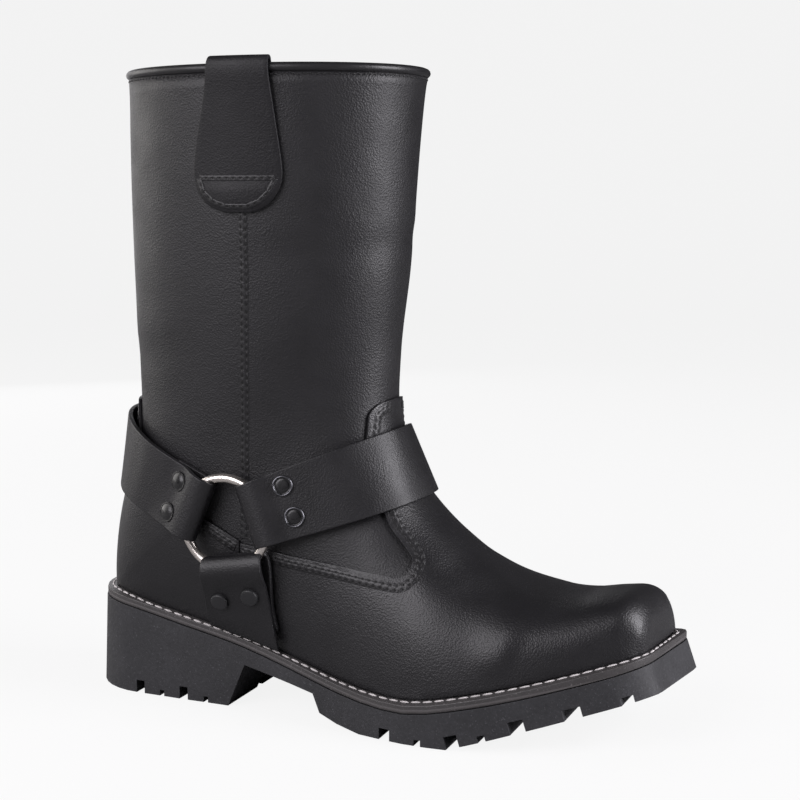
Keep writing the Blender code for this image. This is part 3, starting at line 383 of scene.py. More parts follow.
class StudioLook(bpy.types.PropertyGroup):
    """Camera, floor and lights of the picture."""
    camera_place: FloatVectorProperty(
        name="Camera", description="Where the camera stands",
        subtype="TRANSLATION", default=(0.2995, -0.7306, 0.2587))
    camera_turn: FloatProperty(
        name="Camera turn", description="To the left of straight along +Y",
        subtype="ANGLE", default=math.radians(21.55))
    camera_dip: FloatProperty(
        name="Camera dip", description="Below the horizon", subtype="ANGLE", default=math.radians(7.5))
    lens: FloatProperty(
        name="Lens", description="Focal length on a 36 mm sensor", default=72.0, min=10.0, unit="CAMERA")
    floor: colour_setting("Floor", "Pale floor and backdrop", (0.97, 0.97, 0.97))
    glow: FloatProperty(
        name="Floor glow", description="Share of the floor's brightness that no shadow takes away",
        subtype="FACTOR", default=0.9, min=0.0, max=1.0)
    surround: FloatProperty(
        name="Surround", description="Strength of the even light from all sides", default=0.08, min=0.0)
    key: FloatProperty(
        name="Softboxes", description="Watts of which each large light takes a share", default=50.0, min=0.0)


def sizes():
    return bpy.context.scene.boot_sizes


def colours():
    return bpy.context.scene.boot_colours


def smooth(keys, values, at):
    """Cubic through a short table, with the ends held."""
    if at <= keys[0]:
        return values[0]
    if at >= keys[-1]:
        return values[-1]
    i = max(n for n in range(len(keys) - 1) if keys[n] <= at)

    def slope(n):
        before, after = max(n - 1, 0), min(n + 1, len(keys) - 1)
        return (values[after] - values[before]) / (keys[after] - keys[before])

    span = keys[i + 1] - keys[i]
    t = (at - keys[i]) / span
    return ((2 * t**3 - 3 * t**2 + 1) * values[i] + (t**3 - 2 * t**2 + t) * span * slope(i)
            + (3 * t**2 - 2 * t**3) * values[i + 1] + (t**3 - t**2) * span * slope(i + 1))


def column(table, name):
    return [getattr(row, name) for row in table]


def between(table, share):
    """Row of a table at a share of its length, read smoothly between its rows."""
    at = share * (len(table) - 1)
    keys = list(range(len(table)))
    return type(table[0])(*[smooth(keys, column(table, name), at) for name in table[0]._fields])


def fine_rows(table, steps):
    return [between(table, i / steps) for i in range(steps + 1)]


def share_of(low, high, value):
    """How far a value lies from low to high, held at 0 and 1 outside them."""
    return min(max((value - low) / (high - low), 0.0), 1.0)


def step(low, high, value):
    """Rises softly from 0 at low to 1 at high."""
    share = share_of(low, high, value)
    return share * share * (3 - 2 * share)


PLAN_STATIONS = column(SOLE_PLAN, "station")
PLAN_WIDTHS = {LATERAL: column(SOLE_PLAN, "lateral"), MEDIAL: column(SOLE_PLAN, "medial")}


def table_width(station, side):
    return smooth(PLAN_STATIONS, PLAN_WIDTHS[side], station)


def sole_half_width(station, side):
    """From the foot's line to the sole's edge: round at the heel, square at the toe."""
    width = table_width(station, side)
    if station < HEEL_CENTRE:
        reach = (HEEL_CENTRE - station) / HEEL_CENTRE
        return width * math.sqrt(max(0.0, 1 - reach**2))
    if station > TOE_CORNER:
        reach = min(1.0, (station - TOE_CORNER) / (SOLE_LENGTH - TOE_CORNER))
        corner = (1 - reach**TOE_SQUARENESS) ** (1 / TOE_SQUARENESS)
        return TOE_FLAT + (width - TOE_FLAT) * corner
    return width


def feather_half_width(station, side):
    """From the foot's line to the upper's lower edge, inside the sole's edge."""
    on_sole = share_of(HEEL_INSET, SOLE_LENGTH - TOE_INSET, station) * SOLE_LENGTH
    return sole_half_width(on_sole, side) * (1 - SIDE_INSET / table_width(on_sole, side))


def skewed(x, y, z):
    """Turns the toe's front edge a little, so the big toe leads."""
    share = share_of(TOE_SKEW_FROM, SOLE_LENGTH, x)
    return Vector((x + TOE_SKEW * share**2 * (y - TOE_FLAT), y, z))


def sole_top(station):
    return smooth(column(SOLE_TOP, "station"), column(SOLE_TOP, "height"), station)


def welt_top(station):
    return sole_top(station) + WELT_HEIGHT


SECTION_KEYS = list(range(len(SECTIONS)))
SECTION_COLUMNS = {name: column(SECTIONS, name) for name in Section._fields if name != "low_z"}
BACK_KEYS = SECTION_KEYS[HEEL_ROW:]
BACK_HEIGHTS = ([sole_top(SECTIONS[HEEL_ROW].low_x) + GAP]
                + [row.low_z for row in SECTIONS[HEEL_ROW + 1:]])


@lru_cache(maxsize=None)
def section_at(row):
    """Sizes of one section of the last, with its low height and its half-widths at the sole."""
    at = {name: smooth(SECTION_KEYS, values, row) for name, values in SECTION_COLUMNS.items()}
    at["edge"] = {LATERAL: 0.0, MEDIAL: 0.0}
    at["low_z"] = smooth(BACK_KEYS, BACK_HEIGHTS, row)
    if row <= HEEL_ROW:
        at["low_z"] = sole_top(at["low_x"]) + GAP
        at["edge"] = {side: feather_half_width(at["low_x"], side) for side in (LATERAL, MEDIAL)}
    return at


def signed_power(value, power):
    return math.copysign(abs(value) ** power, value)


def last_point(u, row):
    """Point of the last: u from -1 (lateral sole edge) over 0 (top line) to 1 (medial edge)."""
    at = section_at(row)
    side = LATERAL if u < 0 else MEDIAL
    edge = at["edge"][side]
    if row == 0:
        return skewed(at["low_x"], edge * u, at["low_z"])
    middle = max(at["lateral"] if u < 0 else at["medial"], edge)
    power = 2 / at["squareness"]
    first = math.asin(min(1.0, (edge / middle) ** (1 / power)))
    angle = first + (math.pi - first) * (1 - abs(u))
    start = signed_power(math.cos(first), power) if first < math.pi / 2 else 0.0
    rise = (start - signed_power(math.cos(angle), power)) / (start + 1)
    y = side * middle * abs(math.sin(angle)) ** power
    return skewed(at["low_x"] + rise * (at["top_x"] - at["low_x"]), y,
                  at["low_z"] + rise * (at["top_z"] - at["low_z"]))


def relief(place):
    """Height of the leather's creases and slack at a place on the last."""
    height = 0.0
    for crease in CREASES:
        turn = math.radians(crease.turn)
        off_x, off_z = place.x - crease.x, place.z - crease.z
        along = (off_x * math.cos(turn) + off_z * math.sin(turn)) / crease.length
        across = off_z * math.cos(turn) - off_x * math.sin(turn)
        across /= crease.above if across > 0 else crease.below
        if max(abs(along), abs(across)) > CREASE_REACH:
            continue
        share = 1.0
        if crease.side != BOTH:
            share = step(*CREASE_FADE, crease.side * place.y)
        height += crease.depth * share * math.exp(-along**2 - across**2)
    slack = noise.noise(Vector((place.x, place.y, SLACK_UPRIGHT * place.z)) / UNDULATION_SIZE)
    ease = step(0, WELT_CALM, place.z - welt_top(place.x))
    ease *= step(0, COLLAR_CALM, COLLAR_STILL - place.z)
    return (height + UNDULATION * slack) * ease


def grid(lines, work=None, hole_shade_marks=None):
    """Sheet through lines of points, all of one length, bent from a flat grid, with the painted shade of its
    needle holes.
    """
    work = work or bmesh.new()
    if hole_shade_marks and HOLE_PAINTED_SHADE not in work.verts.layers.float:
        work.verts.layers.float.new(HOLE_PAINTED_SHADE)
    across, along = len(lines[0]) - 1, len(lines) - 1
    flat = bmesh.ops.create_grid(work, x_segments=across, y_segments=along, size=1.0)
    for vert in flat["verts"]:
        i = round((vert.co.x + 1) / 2 * across)
        j = round((vert.co.y + 1) / 2 * along)
        vert.co = lines[j][i]
        if hole_shade_marks:
            vert[work.verts.layers.float[HOLE_PAINTED_SHADE]] = hole_shade_marks[j][i]
    return work


def skin(rows, lift):
    """The last's surface with its creases, moved outward by lift."""
    shares = [2 * i / SKIN_COLUMNS - 1 for i in range(SKIN_COLUMNS + 1)]
    work = grid([[last_point(u, row) for u in shares] for row in rows])
    bmesh.ops.remove_doubles(work, verts=work.verts, dist=WELD)
    soft = [vert for vert in work.verts if not vert.is_boundary and vert.co.x < TOE_CRISP]
    for _ in range(SMOOTHING):
        bmesh.ops.smooth_vert(
            work, verts=soft, factor=0.5, use_axis_x=True, use_axis_y=True, use_axis_z=True)
    work.normal_update()
    moves = [vert.normal * (lift + relief(vert.co)) for vert in work.verts]
    for vert, move in zip(work.verts, moves):
        vert.co += move
    return work


def ladder(*stretches):
    """Rows of the last: stretches of (first row, last row, number of steps) laid end to end."""
    rows = []
    for first, last, steps in stretches:
        rows += [first + (last - first) * i / steps for i in range(steps)]
    return rows + [stretches[-1][1]]


UPPER_ROWS = ladder((0, 4, 24), (4, 15, 66), (15, 22, 56))
VAMP_ROWS = ladder((0, 4, 28), (4, 17, 84))
COUNTER_ROWS = ladder((8.2, 20, 84))


def mesh_tree(mesh):
    """Surface of a mesh in the frame, in the boot's millimetres."""
    points = [FROM_FRAME @ vert.co for vert in mesh.vertices]
    return BVHTree.FromPolygons(points, [face.vertices[:] for face in mesh.polygons])


def node_tree(node):
    """Surface of a solid."""
    return mesh_tree(frame["nodes"][node].data)


def piece_tree(node):
    """Surface of the finished piece that replaces a solid, with its modifiers."""
    bpy.context.view_layer.update()
    solid = PIECES[node].evaluated_get(bpy.context.evaluated_depsgraph_get())
    tree = mesh_tree(solid.to_mesh())
    solid.to_mesh_clear()
    return tree


FORM_SKIN = skin(UPPER_ROWS, 0.0)
FORM = BVHTree.FromBMesh(FORM_SKIN)


def strike(origin, direction, tree=FORM):
    """Where a ray from outside meets a surface, and the outward normal there."""
    place, normal, _, _ = tree.ray_cast(Vector(origin), Vector(direction).normalized())
    if place is None:
        return None, None
    if normal.dot(Vector(direction)) > 0:
        normal = -normal
    return place, normal


def on_side(x, z, side, lift):
    """Point of the last's outer or inner side at x and z, moved off it by lift."""
    place, normal = strike((x, side * FAR, z), (0, -side, 0))
    return place + normal * lift


def touch(tree, origin, direction):
    """Where a ray meets a surface, or the surface's nearest point where the ray passes its edge."""
    place, _ = strike(origin, direction, tree)
    if place is None:
        reach = FORM.ray_cast(Vector(origin), Vector(direction).normalized())[0]
        place = tree.find_nearest(reach)[0]
    return place


PAINTS = {}
PIECES = {}


def add_object(name, data):
    made = bpy.data.objects.new(name, data)
    bpy.context.scene.collection.objects.link(made)
    return made


def add_piece(name, work, paints, nodes=(), body="boot", sharp=None):
    """Moves a finished bmesh into the frame as a named piece that rides on a body."""
    bmesh.ops.transform(work, matrix=TO_FRAME, verts=work.verts)
    mesh = bpy.data.meshes.new(name)
    work.to_mesh(mesh)
    work.free()
    for paint in paints:
        mesh.materials.append(PAINTS[paint])
    mesh.shade_smooth()
    if sharp is not None:
        mesh.set_sharp_from_angle(angle=math.radians(sharp))
    made = add_object(name, mesh)
    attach(made, body)
    if nodes:
        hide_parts(*nodes)
        PIECES[nodes[0]] = made
    return made


def thicken(piece, thickness, offset, lining=0, even=True):
    """Gives a sheet its thickness, with another material inside where there is a lining."""
    wall = piece.modifiers.new("leather", "SOLIDIFY")
    wall.thickness = thickness * MM
    wall.offset = offset
    wall.use_even_offset = even
    wall.use_quality_normals = True
    wall.material_offset = lining


def soften(piece, width, angle=50):
    """Rounds the edges that are sharper than an angle in degrees."""
    edge = piece.modifiers.new("edge", "BEVEL")
    edge.width = width * MM
    edge.segments = 2
    edge.profile = 0.5
    edge.limit_method = "ANGLE"
    edge.angle_limit = math.radians(angle)
    edge.harden_normals = False


def subdivide(piece, levels):
    fine = piece.modifiers.new("smooth", "SUBSURF")
    fine.levels = levels
    fine.render_levels = levels


# Materials

def add_node(tree, kind, inputs=None, **settings):
    """A shader node with its settings, its inputs set or linked by name or number."""
    made = tree.nodes.new(kind)
    for name, value in settings.items():
        setattr(made, name, value)
    for name, value in (inputs or {}).items():
        if isinstance(value, bpy.types.NodeSocket):
            tree.links.new(value, made.inputs[name])
        else:
            made.inputs[name].default_value = value
    return made


def new_paint(name):
    """A material, its nodes, its shader and the place on the piece that its detail follows."""
    made = bpy.data.materials.new(name)
    made.use_nodes = True
    tree = made.node_tree
    place = add_node(tree, "ShaderNodeTexCoord").outputs["Object"]
    return made, tree, tree.nodes["Principled BSDF"], place


def add_bump(tree, shader, height, strength, distance):
    """Lays one more relief over those that the shader has."""
    bump = add_node(tree, "ShaderNodeBump", {"Height": height, "Strength": strength, "Distance": distance})
    normal = shader.inputs["Normal"]
    if normal.is_linked:
        tree.links.new(normal.links[0].from_socket, bump.inputs["Normal"])
    tree.links.new(bump.outputs["Normal"], normal)


def spread(tree, value, low, high):
    """Maps a noise's middle range onto low to high."""
    return add_node(tree, "ShaderNodeMapRange", {
        "Value": value, "From Min": 0.3, "From Max": 0.7, "To Min": low, "To Max": high}).outputs["Result"]


def blotch(tree, place, size, detail=3.0):
    return add_node(tree, "ShaderNodeTexNoise", {
        "Vector": place, "Scale": 1.0 / size, "Detail": detail, "Roughness": 0.55}).outputs["Fac"]


MIX_FACTOR, MIX_DARK, MIX_LIGHT, MIX_RESULT = 0, 6, 7, 2


def mix_colours(tree, fac, dark, light):
    """Colour between two others; each is a colour or another node's output."""
    mix = tree.nodes.new("ShaderNodeMix")
    mix.data_type = "RGBA"
    tree.links.new(fac, mix.inputs[MIX_FACTOR])
    for number, colour in ((MIX_DARK, dark), (MIX_LIGHT, light)):
        if isinstance(colour, bpy.types.NodeSocket):
            tree.links.new(colour, mix.inputs[number])
        else:
            mix.inputs[number].default_value = (*colour, 1.0)
    return mix.outputs[MIX_RESULT]


def shade_between(tree, shader, fac, colour, contrast):
    """Base colour that wanders between a darker and a lighter shade of one tone."""
    dark, light = [c * (1 - contrast) for c in colour], [c * (1 + contrast) for c in colour]
    shade = mix_colours(tree, fac, dark, light)
    tree.links.new(shade, shader.inputs["Base Color"])
    return shade


def leather(name, rough, pebble, gloss, shine=0.5, holed=False):
    """Black coated leather: pebbled grain with fine folds, satin, uneven in gloss, with painted shade in
    needle holes.
    """
    made, tree, shader, place = new_paint(name)
    patches = spread(tree, blotch(tree, place, 0.03), 0.0, 1.0)
    shade = shade_between(tree, shader, patches, colours().leather, 0.18)
    # painted shade: the leather turns near black in its needle holes, where shade would fall
    if holed:
        depth = add_node(tree, "ShaderNodeAttribute", attribute_name=HOLE_PAINTED_SHADE).outputs["Fac"]
        tree.links.new(mix_colours(tree, depth, shade, (0.001, 0.001, 0.001)), shader.inputs["Base Color"])
    cells = add_node(tree, "ShaderNodeTexVoronoi", {
        "Vector": place, "Scale": 1.0 / sizes().grain, "Randomness": 1.0}).outputs["Distance"]
    folds = blotch(tree, place, 0.0011, 2.0)
    slack = blotch(tree, place, 0.014, 2.0)
    add_bump(tree, shader, cells, 0.5 * pebble, 0.0003)
    add_bump(tree, shader, folds, 0.14 * pebble, 0.0005)
    add_bump(tree, shader, slack, 0.12, 0.001)
    satin = spread(tree, blotch(tree, place, 0.02), rough - 0.05, rough + 0.06)
    if holed:
        satin = add_node(tree, "ShaderNodeMath", {0: satin, 1: depth}, operation="MAXIMUM").outputs[0]
    tree.links.new(satin, shader.inputs["Roughness"])
    shader.inputs["Specular IOR Level"].default_value = shine
    shader.inputs["Coat Weight"].default_value = gloss
    shader.inputs["Coat Roughness"].default_value = 0.3
    return made


def rubber(name, colour, rough=0.62, speckle=0.35, bump=0.0004):
    """Moulded rubber: fine matt speckle and a little dust."""
    made, tree, shader, place = new_paint(name)
    fine = blotch(tree, place, 0.0016, 4.0)
    broad = blotch(tree, place, 0.022, 3.0)
    both = add_node(tree, "ShaderNodeMath", {0: fine, 1: broad, 2: 0.25}, operation="MULTIPLY_ADD")
    shade = shade_between(tree, shader, spread(tree, both.outputs[0], 0.0, 1.0), colour, speckle)
    dust = add_node(tree, "ShaderNodeMapRange", {
        "Value": blotch(tree, place, 0.0008, 1.0), "From Min": 0.66, "From Max": 0.74}).outputs["Result"]
    tree.links.new(mix_colours(tree, dust, shade, [2.6 * c for c in colour]), shader.inputs["Base Color"])
    add_bump(tree, shader, fine, 0.35, bump)
    tree.links.new(spread(tree, broad, rough - 0.08, rough + 0.08), shader.inputs["Roughness"])
    return made


def welt_strip(name, colour):
    """The welt's rubber, with a paler line along the middle of its side: a painted highlight of a ridge
    there, which a bump also raises.
    """
    made = rubber(name, colour, rough=0.5, speckle=0.16, bump=0.0002)
    tree = made.node_tree
    shader = tree.nodes["Principled BSDF"]
    shade = shader.inputs["Base Color"].links[0].from_socket
    rise = add_node(tree, "ShaderNodeAttribute", attribute_name=WELT_RISE).outputs["Fac"]
    off = add_node(tree, "ShaderNodeMath", {0: rise, 1: WELT_SHEEN_LINE_AT}, operation="SUBTRACT").outputs[0]
    away = add_node(tree, "ShaderNodeMath", {0: off}, operation="ABSOLUTE").outputs[0]
    line = add_node(tree, "ShaderNodeMapRange", {
        "Value": away, "From Min": 0.03, "From Max": 0.16, "To Min": 1.0, "To Max": 0.0},
        interpolation_type="SMOOTHSTEP").outputs["Result"]
    # painted highlight: the welt's colour is made paler along the ridge line
    pale = mix_colours(tree, line, shade, [1.7 * c for c in colour])
    tree.links.new(pale, shader.inputs["Base Color"])
    add_bump(tree, shader, line, 0.3, 0.0004)
    return made


def metal(name, colour, rough, metallic=1.0, coat=0.0):
    """Polished or painted metal with faint scratches."""
    made, tree, shader, place = new_paint(name)
    haze = blotch(tree, place, 0.008, 1.0)
    shade_between(tree, shader, spread(tree, haze, 0.0, 1.0), colour, 0.06)
    tree.links.new(spread(tree, haze, rough * 0.7, rough * 1.4), shader.inputs["Roughness"])
    add_bump(tree, shader, blotch(tree, place, 0.0012, 2.0), 0.008, 0.0002)
    shader.inputs["Metallic"].default_value = metallic
    shader.inputs["Coat Weight"].default_value = coat
    return made


def woven(name, colour, pitch=0.0011, rough=0.85):
    """Textile: two crossed sets of threads."""
    made, tree, shader, place = new_paint(name)
    shade_between(tree, shader, spread(tree, blotch(tree, place, 0.01), 0.0, 1.0), colour, 0.3)
    waves = []
    for direction in ("DIAGONAL", "Z"):
        wave = add_node(tree, "ShaderNodeTexWave", {"Vector": place, "Scale": 0.314 / pitch},
                        bands_direction=direction)
        waves.append(wave.outputs["Fac"])
    cross = add_node(tree, "ShaderNodeMath", {0: waves[0], 1: waves[1]}, operation="MAXIMUM")
    add_bump(tree, shader, cross.outputs[0], 0.5, 0.0004)
    shader.inputs["Roughness"].default_value = rough
    return made


def thread(name, colour, rough=0.55):
    """Waxed thread with the twist of its strands."""
    made, tree, shader, place = new_paint(name)
    shade_between(tree, shader, spread(tree, blotch(tree, place, 0.004), 0.0, 1.0), colour, 0.25)
    twist = add_node(tree, "ShaderNodeTexWave", {"Vector": place, "Scale": 500.0}, bands_direction="DIAGONAL")
    add_bump(tree, shader, twist.outputs["Fac"], 0.4, 0.0002)
    shader.inputs["Roughness"].default_value = rough
    return made


def mix_paints():
    """Every material once, from the colours in the panel."""
    tone = colours()
    PAINTS["upper"] = leather("upper_leather", rough=0.50, pebble=1.0, gloss=0.06)
    PAINTS["panel"] = leather("panel_leather", rough=0.43, pebble=0.9, gloss=0.14)
    # this leather carries painted shade in its needle holes
    PAINTS["seam"] = leather("seam_leather", rough=0.44, pebble=0.5, gloss=0.08, holed=True)
    PAINTS["strap"] = leather("strap_leather", rough=0.47, pebble=0.8, gloss=0.08, shine=0.46)
    PAINTS["pull"] = leather("pull_leather", rough=0.54, pebble=0.9, gloss=0.03, shine=0.32)
    PAINTS["binding"] = leather("binding_leather", rough=0.42, pebble=0.35, gloss=0.12)
    PAINTS["placket"] = leather("placket_leather", rough=0.52, pebble=0.8, gloss=0.05)
    PAINTS["patch"] = woven("patch_nap", tone.leather, pitch=0.0008, rough=0.9)
    PAINTS["lining"] = woven("lining_textile", tone.lining)
    PAINTS["board"] = woven("insole_board", [2.0 * c for c in tone.lining], pitch=0.0014)
    PAINTS["rubber"] = rubber("sole_rubber", tone.rubber)
    PAINTS["welt"] = welt_strip("welt_rubber", tone.welt)
    PAINTS["thread"] = thread("seam_thread", tone.thread)
    PAINTS["welt_thread"] = thread("welt_thread", tone.welt_thread, rough=0.7)
    PAINTS["nickel"] = metal("ring_nickel", tone.nickel, 0.24)
    PAINTS["rivet"] = metal("rivet_gloss", [0.7 * c for c in tone.paint], 0.3, metallic=0.0, coat=0.1)
    PAINTS["rivet_flat"] = metal("rivet_satin", [1.6 * c for c in tone.paint], 0.42, metallic=0.0)
    PAINTS["rivet_rim"] = metal("rivet_rim", [12 * c for c in tone.paint], 0.3)
    PAINTS["tape"] = woven("zip_tape", [0.8 * c for c in tone.leather], pitch=0.0006)


# Upper and panels

def rounded(corners, steps=6):
    """Outline in x and z whose corners, given with a radius, are turned into arcs."""
    out = []
    for i, (x, z, radius) in enumerate(corners):
        here = Vector((x, z))
        if radius == 0:
            out.append(here)
            continue
        before = (Vector(corners[i - 1][:2]) - here).normalized()
        after = (Vector(corners[(i + 1) % len(corners)][:2]) - here).normalized()
        half = math.acos(max(-1.0, min(1.0, before.dot(after)))) / 2
        centre = here + (before + after).normalized() * radius / math.sin(half)
        start, end = here + before * radius / math.tan(half), here + after * radius / math.tan(half)
        for n in range(steps + 1):
            spoke = (start - centre).lerp(end - centre, n / steps).normalized()
            out.append(centre + spoke * radius)
    return out


def inside(place, outline):
    """Whether a place lies in a closed outline in x and z."""
    odd = False
    for a, b in zip(outline, outline[1:] + outline[:1]):
        if (a.y > place.z) != (b.y > place.z):
            if place.x < a.x + (place.z - a.y) / (b.y - a.y) * (b.x - a.x):
                odd = not odd
    return odd


def trim(work, outline):
    """Cuts a sheet along an outline in x and z, keeps the inside and evens out its border."""
    for a, b in zip(outline, outline[1:] + outline[:1]):
        low_x, high_x = min(a.x, b.x) - CUT_MARGIN, max(a.x, b.x) + CUT_MARGIN
        low_z, high_z = min(a.y, b.y) - CUT_MARGIN, max(a.y, b.y) + CUT_MARGIN
        faces = []
        for face in work.faces:
            xs = [vert.co.x for vert in face.verts]
            zs = [vert.co.z for vert in face.verts]
            if max(xs) > low_x and min(xs) < high_x and max(zs) > low_z and min(zs) < high_z:
                faces.append(face)
        edges = {edge for face in faces for edge in face.edges}
        verts = {vert for face in faces for vert in face.verts}
        bmesh.ops.bisect_plane(
            work, geom=faces + list(edges) + list(verts), dist=CUT_SNAP,
            plane_co=(a.x, 0, a.y), plane_no=(b.y - a.y, 0, a.x - b.x))
    outer = [face for face in work.faces if not inside(face.calc_center_median(), outline)]
    bmesh.ops.delete(work, geom=outer, context="FACES")
    border = {vert for edge in work.edges if edge.is_boundary for vert in edge.verts}
    welds = {}
    for edge in work.edges:
        first, second = edge.verts
        if edge.calc_length() < BORDER_WELD and (first in border) != (second in border):
            moved, kept = (second, first) if first in border else (first, second)
            welds[moved] = kept
    bmesh.ops.weld_verts(work, targetmap=welds)
    bmesh.ops.dissolve_degenerate(work, dist=SLIVER, edges=work.edges)


def above_welt(outline):
    """Outline with its lower side raised to just above the welt."""
    kept = [point for point in outline if point.y > OUTLINE_MIDDLE]
    first, last = kept[-1].x, kept[0].x
    foot = []
    for i in range(FOOT_STEPS + 1):
        x = first + (last - first) * i / FOOT_STEPS
        toe = share_of(TOE_SKEW_FROM, SOLE_LENGTH, x)
        foot.append(Vector((x, welt_top(min(max(x, 0), SOLE_LENGTH)) + PANEL_FOOT + TOE_FOOT * toe**2)))
    return kept + foot


def make_upper():
    work = FORM_SKIN.copy()
    upper = add_piece("upper_shell", work, ["upper", "lining"], ["upper"])
    thicken(upper, WALL, -1.0, lining=1)


def make_panels():
    for name, corners, rows in (
            ("vamp", VAMP_OUTLINE, VAMP_ROWS), ("counter", COUNTER_OUTLINE, COUNTER_ROWS)):
        work = skin(rows, GAP)
        trim(work, above_welt(rounded(corners)))
        panel = add_piece(f"{name}_panel", work, ["panel"], [name])
        thicken(panel, OVERLAY, 1.0)
        soften(panel, 0.3)


# Sole

def rounded_copy(name, node, paint_name, width, angle=25):
    """A merged copy of a solid with its moulded edges rounded."""
    work = bmesh.new()
    work.from_mesh(frame["nodes"][node].data)
    bmesh.ops.transform(work, matrix=FROM_FRAME, verts=work.verts)
    bmesh.ops.remove_doubles(work, verts=work.verts, dist=0.02)
    bmesh.ops.dissolve_limit(work, angle_limit=math.radians(0.3), verts=work.verts, edges=work.edges)
    # the welt's height share, which places its painted highlight line
    if node == "welt":
        rise = work.verts.layers.float.new(WELT_RISE)
        for vert in work.verts:
            vert[rise] = (vert.co.z - sole_top(min(max(vert.co.x, 0), SOLE_LENGTH))) / WELT_HEIGHT
    copy = add_piece(name, work, [paint_name], [node], sharp=angle)
    soften(copy, width, angle)
    even = copy.modifiers.new("even_shading", "WEIGHTED_NORMAL")
    even.weight = 100


def make_sole():
    rounded_copy("lug_sole", "outsole", "rubber", sizes().edge_round / MM)
    rounded_copy("sole_welt", "welt", "welt", 0.5, angle=35)
    rounded_copy("foot_board", "insole", "board", 0.8)


# Harness

def strap_axes(rise):
    along = Vector((math.cos(rise), 0, math.sin(rise)))
    across = Vector((-along.z, 0, along.x))
    return along, across if across.z > 0 else -across


def across_line(low, high):
    """Points of a straight line across a strap, at the shares that its rows of faces take."""
    return [low.lerp(high, (share + 1) / 2) for share in STRAP_SHARES]


def loop_half_width(distance):
    return LOOP_HALF_WIDTH + (STRAP_HALF_WIDTH - LOOP_HALF_WIDTH) * share_of(*LOOP_WIDENS, distance)


def laid_on(tree, low, high, outward):
    """Line across a strap's leather, read from its solid inside both edges and drawn out to them."""
    inset = (high - low).normalized() * EDGE_CLEAR
    ends = [touch(tree, corner + outward * FAR, -outward) - outward * STRAP / 2
            for corner in (low + inset, high - inset)]
    slope = (ends[1] - ends[0]) * EDGE_CLEAR / ((high - low).length - 2 * EDGE_CLEAR)
    return across_line(ends[0] - slope, ends[1] + slope)


def strap_lines(node, rise, turn_at, angles, ends):
    """Lines across a strap, from its folded-under end round the ring and the boot to its sewn end."""
    tree = node_tree(node)
    along, across = strap_axes(rise)
    lines = []
    for fold in FOLD_UNDER + FOLD_OVER:
        middle = RING_CENTRE + along * fold.distance + Vector((0, -fold.height, 0))
        edge = across * loop_half_width(fold.distance)
        lines.append(across_line(middle - edge, middle + edge))
    axis = Vector((RING_CENTRE.x, 0, RING_CENTRE.z)) + along * turn_at
    outer, inner = Vector((0, -1, 0)), Vector((0, 1, 0))
    stations = []
    for distance in STRAIGHT_AT:
        stations.append((axis + along * (distance - turn_at), outer, loop_half_width(distance)))
    for angle in angles:
        turn = math.radians(angle)
        outward = along * math.cos(turn) + outer * math.sin(turn)
        wide = loop_half_width(turn_at + TURN_REACH * math.cos(turn)) if angle > 0 else STRAP_HALF_WIDTH
        stations.append((axis, outward, wide))
    for end in ends:
        stations.append((axis + along * (end.distance - turn_at), inner, end.half_width))
    for place, outward, half_width in stations:
        edge = across * half_width
        lines.append(laid_on(tree, place - edge, place + edge, outward))
    return lines


def lower_strap_lines():
    """The strap from the ring down to the welt: under layer, fold, then the outer layer."""
    tree = node_tree("strap_lower")
    along, across = strap_axes(LOWER_RISE)
    lines = []
    for drop in LOWER_UNDER:
        ends = [on_side(x, drop.height, LATERAL, UNDER_LIFT + STRAP / 2) for x in (drop.rear, drop.front)]
        lines.append(across_line(*ends))
    for fold in FOLD_UNDER[1:] + FOLD_OVER:
        middle = RING_CENTRE + along * (fold.distance + LOWER_HANG) + Vector((0, -fold.height, 0))
        half_width = loop_half_width(fold.distance) - LOWER_NARROWER
        flare = LOWER_FLARE * step(*FLARE_FROM, fold.distance)
        wider = LOWER_WIDER * (1 - step(*WIDER_TO, fold.distance))
        peek = UNDER_PEEK if fold in FOLD_UNDER else 0.0
        front = half_width + wider + peek
        lines.append(across_line(middle - across * (half_width + flare), middle + across * front))
    feet = [Vector((x, 0, welt_top(x) + LOWER_CLEAR)) for x in LOWER_FOOT]
    for low, high in [(Vector((drop.rear, 0, drop.height)), Vector((drop.front, 0, drop.height)))
                      for drop in LOWER_OVER] + [feet]:
        lines.append(laid_on(tree, low, high, Vector((0, -1, 0))))
    return lines


def make_straps():
    for node, lines in (
            ("strap_rear", strap_lines("strap_rear", REAR_RISE, REAR_TURN, REAR_ANGLES, REAR_ENDS)),
            ("strap_front", strap_lines("strap_front", FRONT_RISE, FRONT_TURN, FRONT_ANGLES, FRONT_ENDS)),
            ("strap_lower", lower_strap_lines())):
        strap = add_piece(f"{node}_leather", grid(lines), ["strap"], [node])
        thicken(strap, STRAP, 0.0)
        subdivide(strap, 2)


def profile(points):
    """A line of edges through points of radius and height, ready to be turned."""
    work = bmesh.new()
    corners = [work.verts.new((radius, 0, height)) for radius, height in points]
    for a, b in zip(corners, corners[1:]):
        work.edges.new((a, b))
    return work


def turn_round(work, axis, steps, weld):
    """Turns a line of edges once round an axis and closes its seam and poles."""
    bmesh.ops.spin(work, geom=work.verts[:] + work.edges[:], cent=(0, 0, 0), axis=axis,
                   angle=2 * math.pi, steps=steps, use_merge=True)
    bmesh.ops.remove_doubles(work, verts=work.verts, dist=weld)
    bmesh.ops.recalc_face_normals(work, faces=work.faces)


def make_ring():
    work = bmesh.new()
    bmesh.ops.create_circle(work, segments=RING_SIDES, radius=RING_WIRE)
    bmesh.ops.translate(work, vec=(RING_RADIUS, 0, 0), verts=work.verts)
    turn_round(work, (0, 1, 0), RING_STEPS, WELD)
    bmesh.ops.translate(work, vec=RING_CENTRE, verts=work.verts)
    add_piece("ring_wire", work, ["nickel"], ["harness_ring"], body="ring")


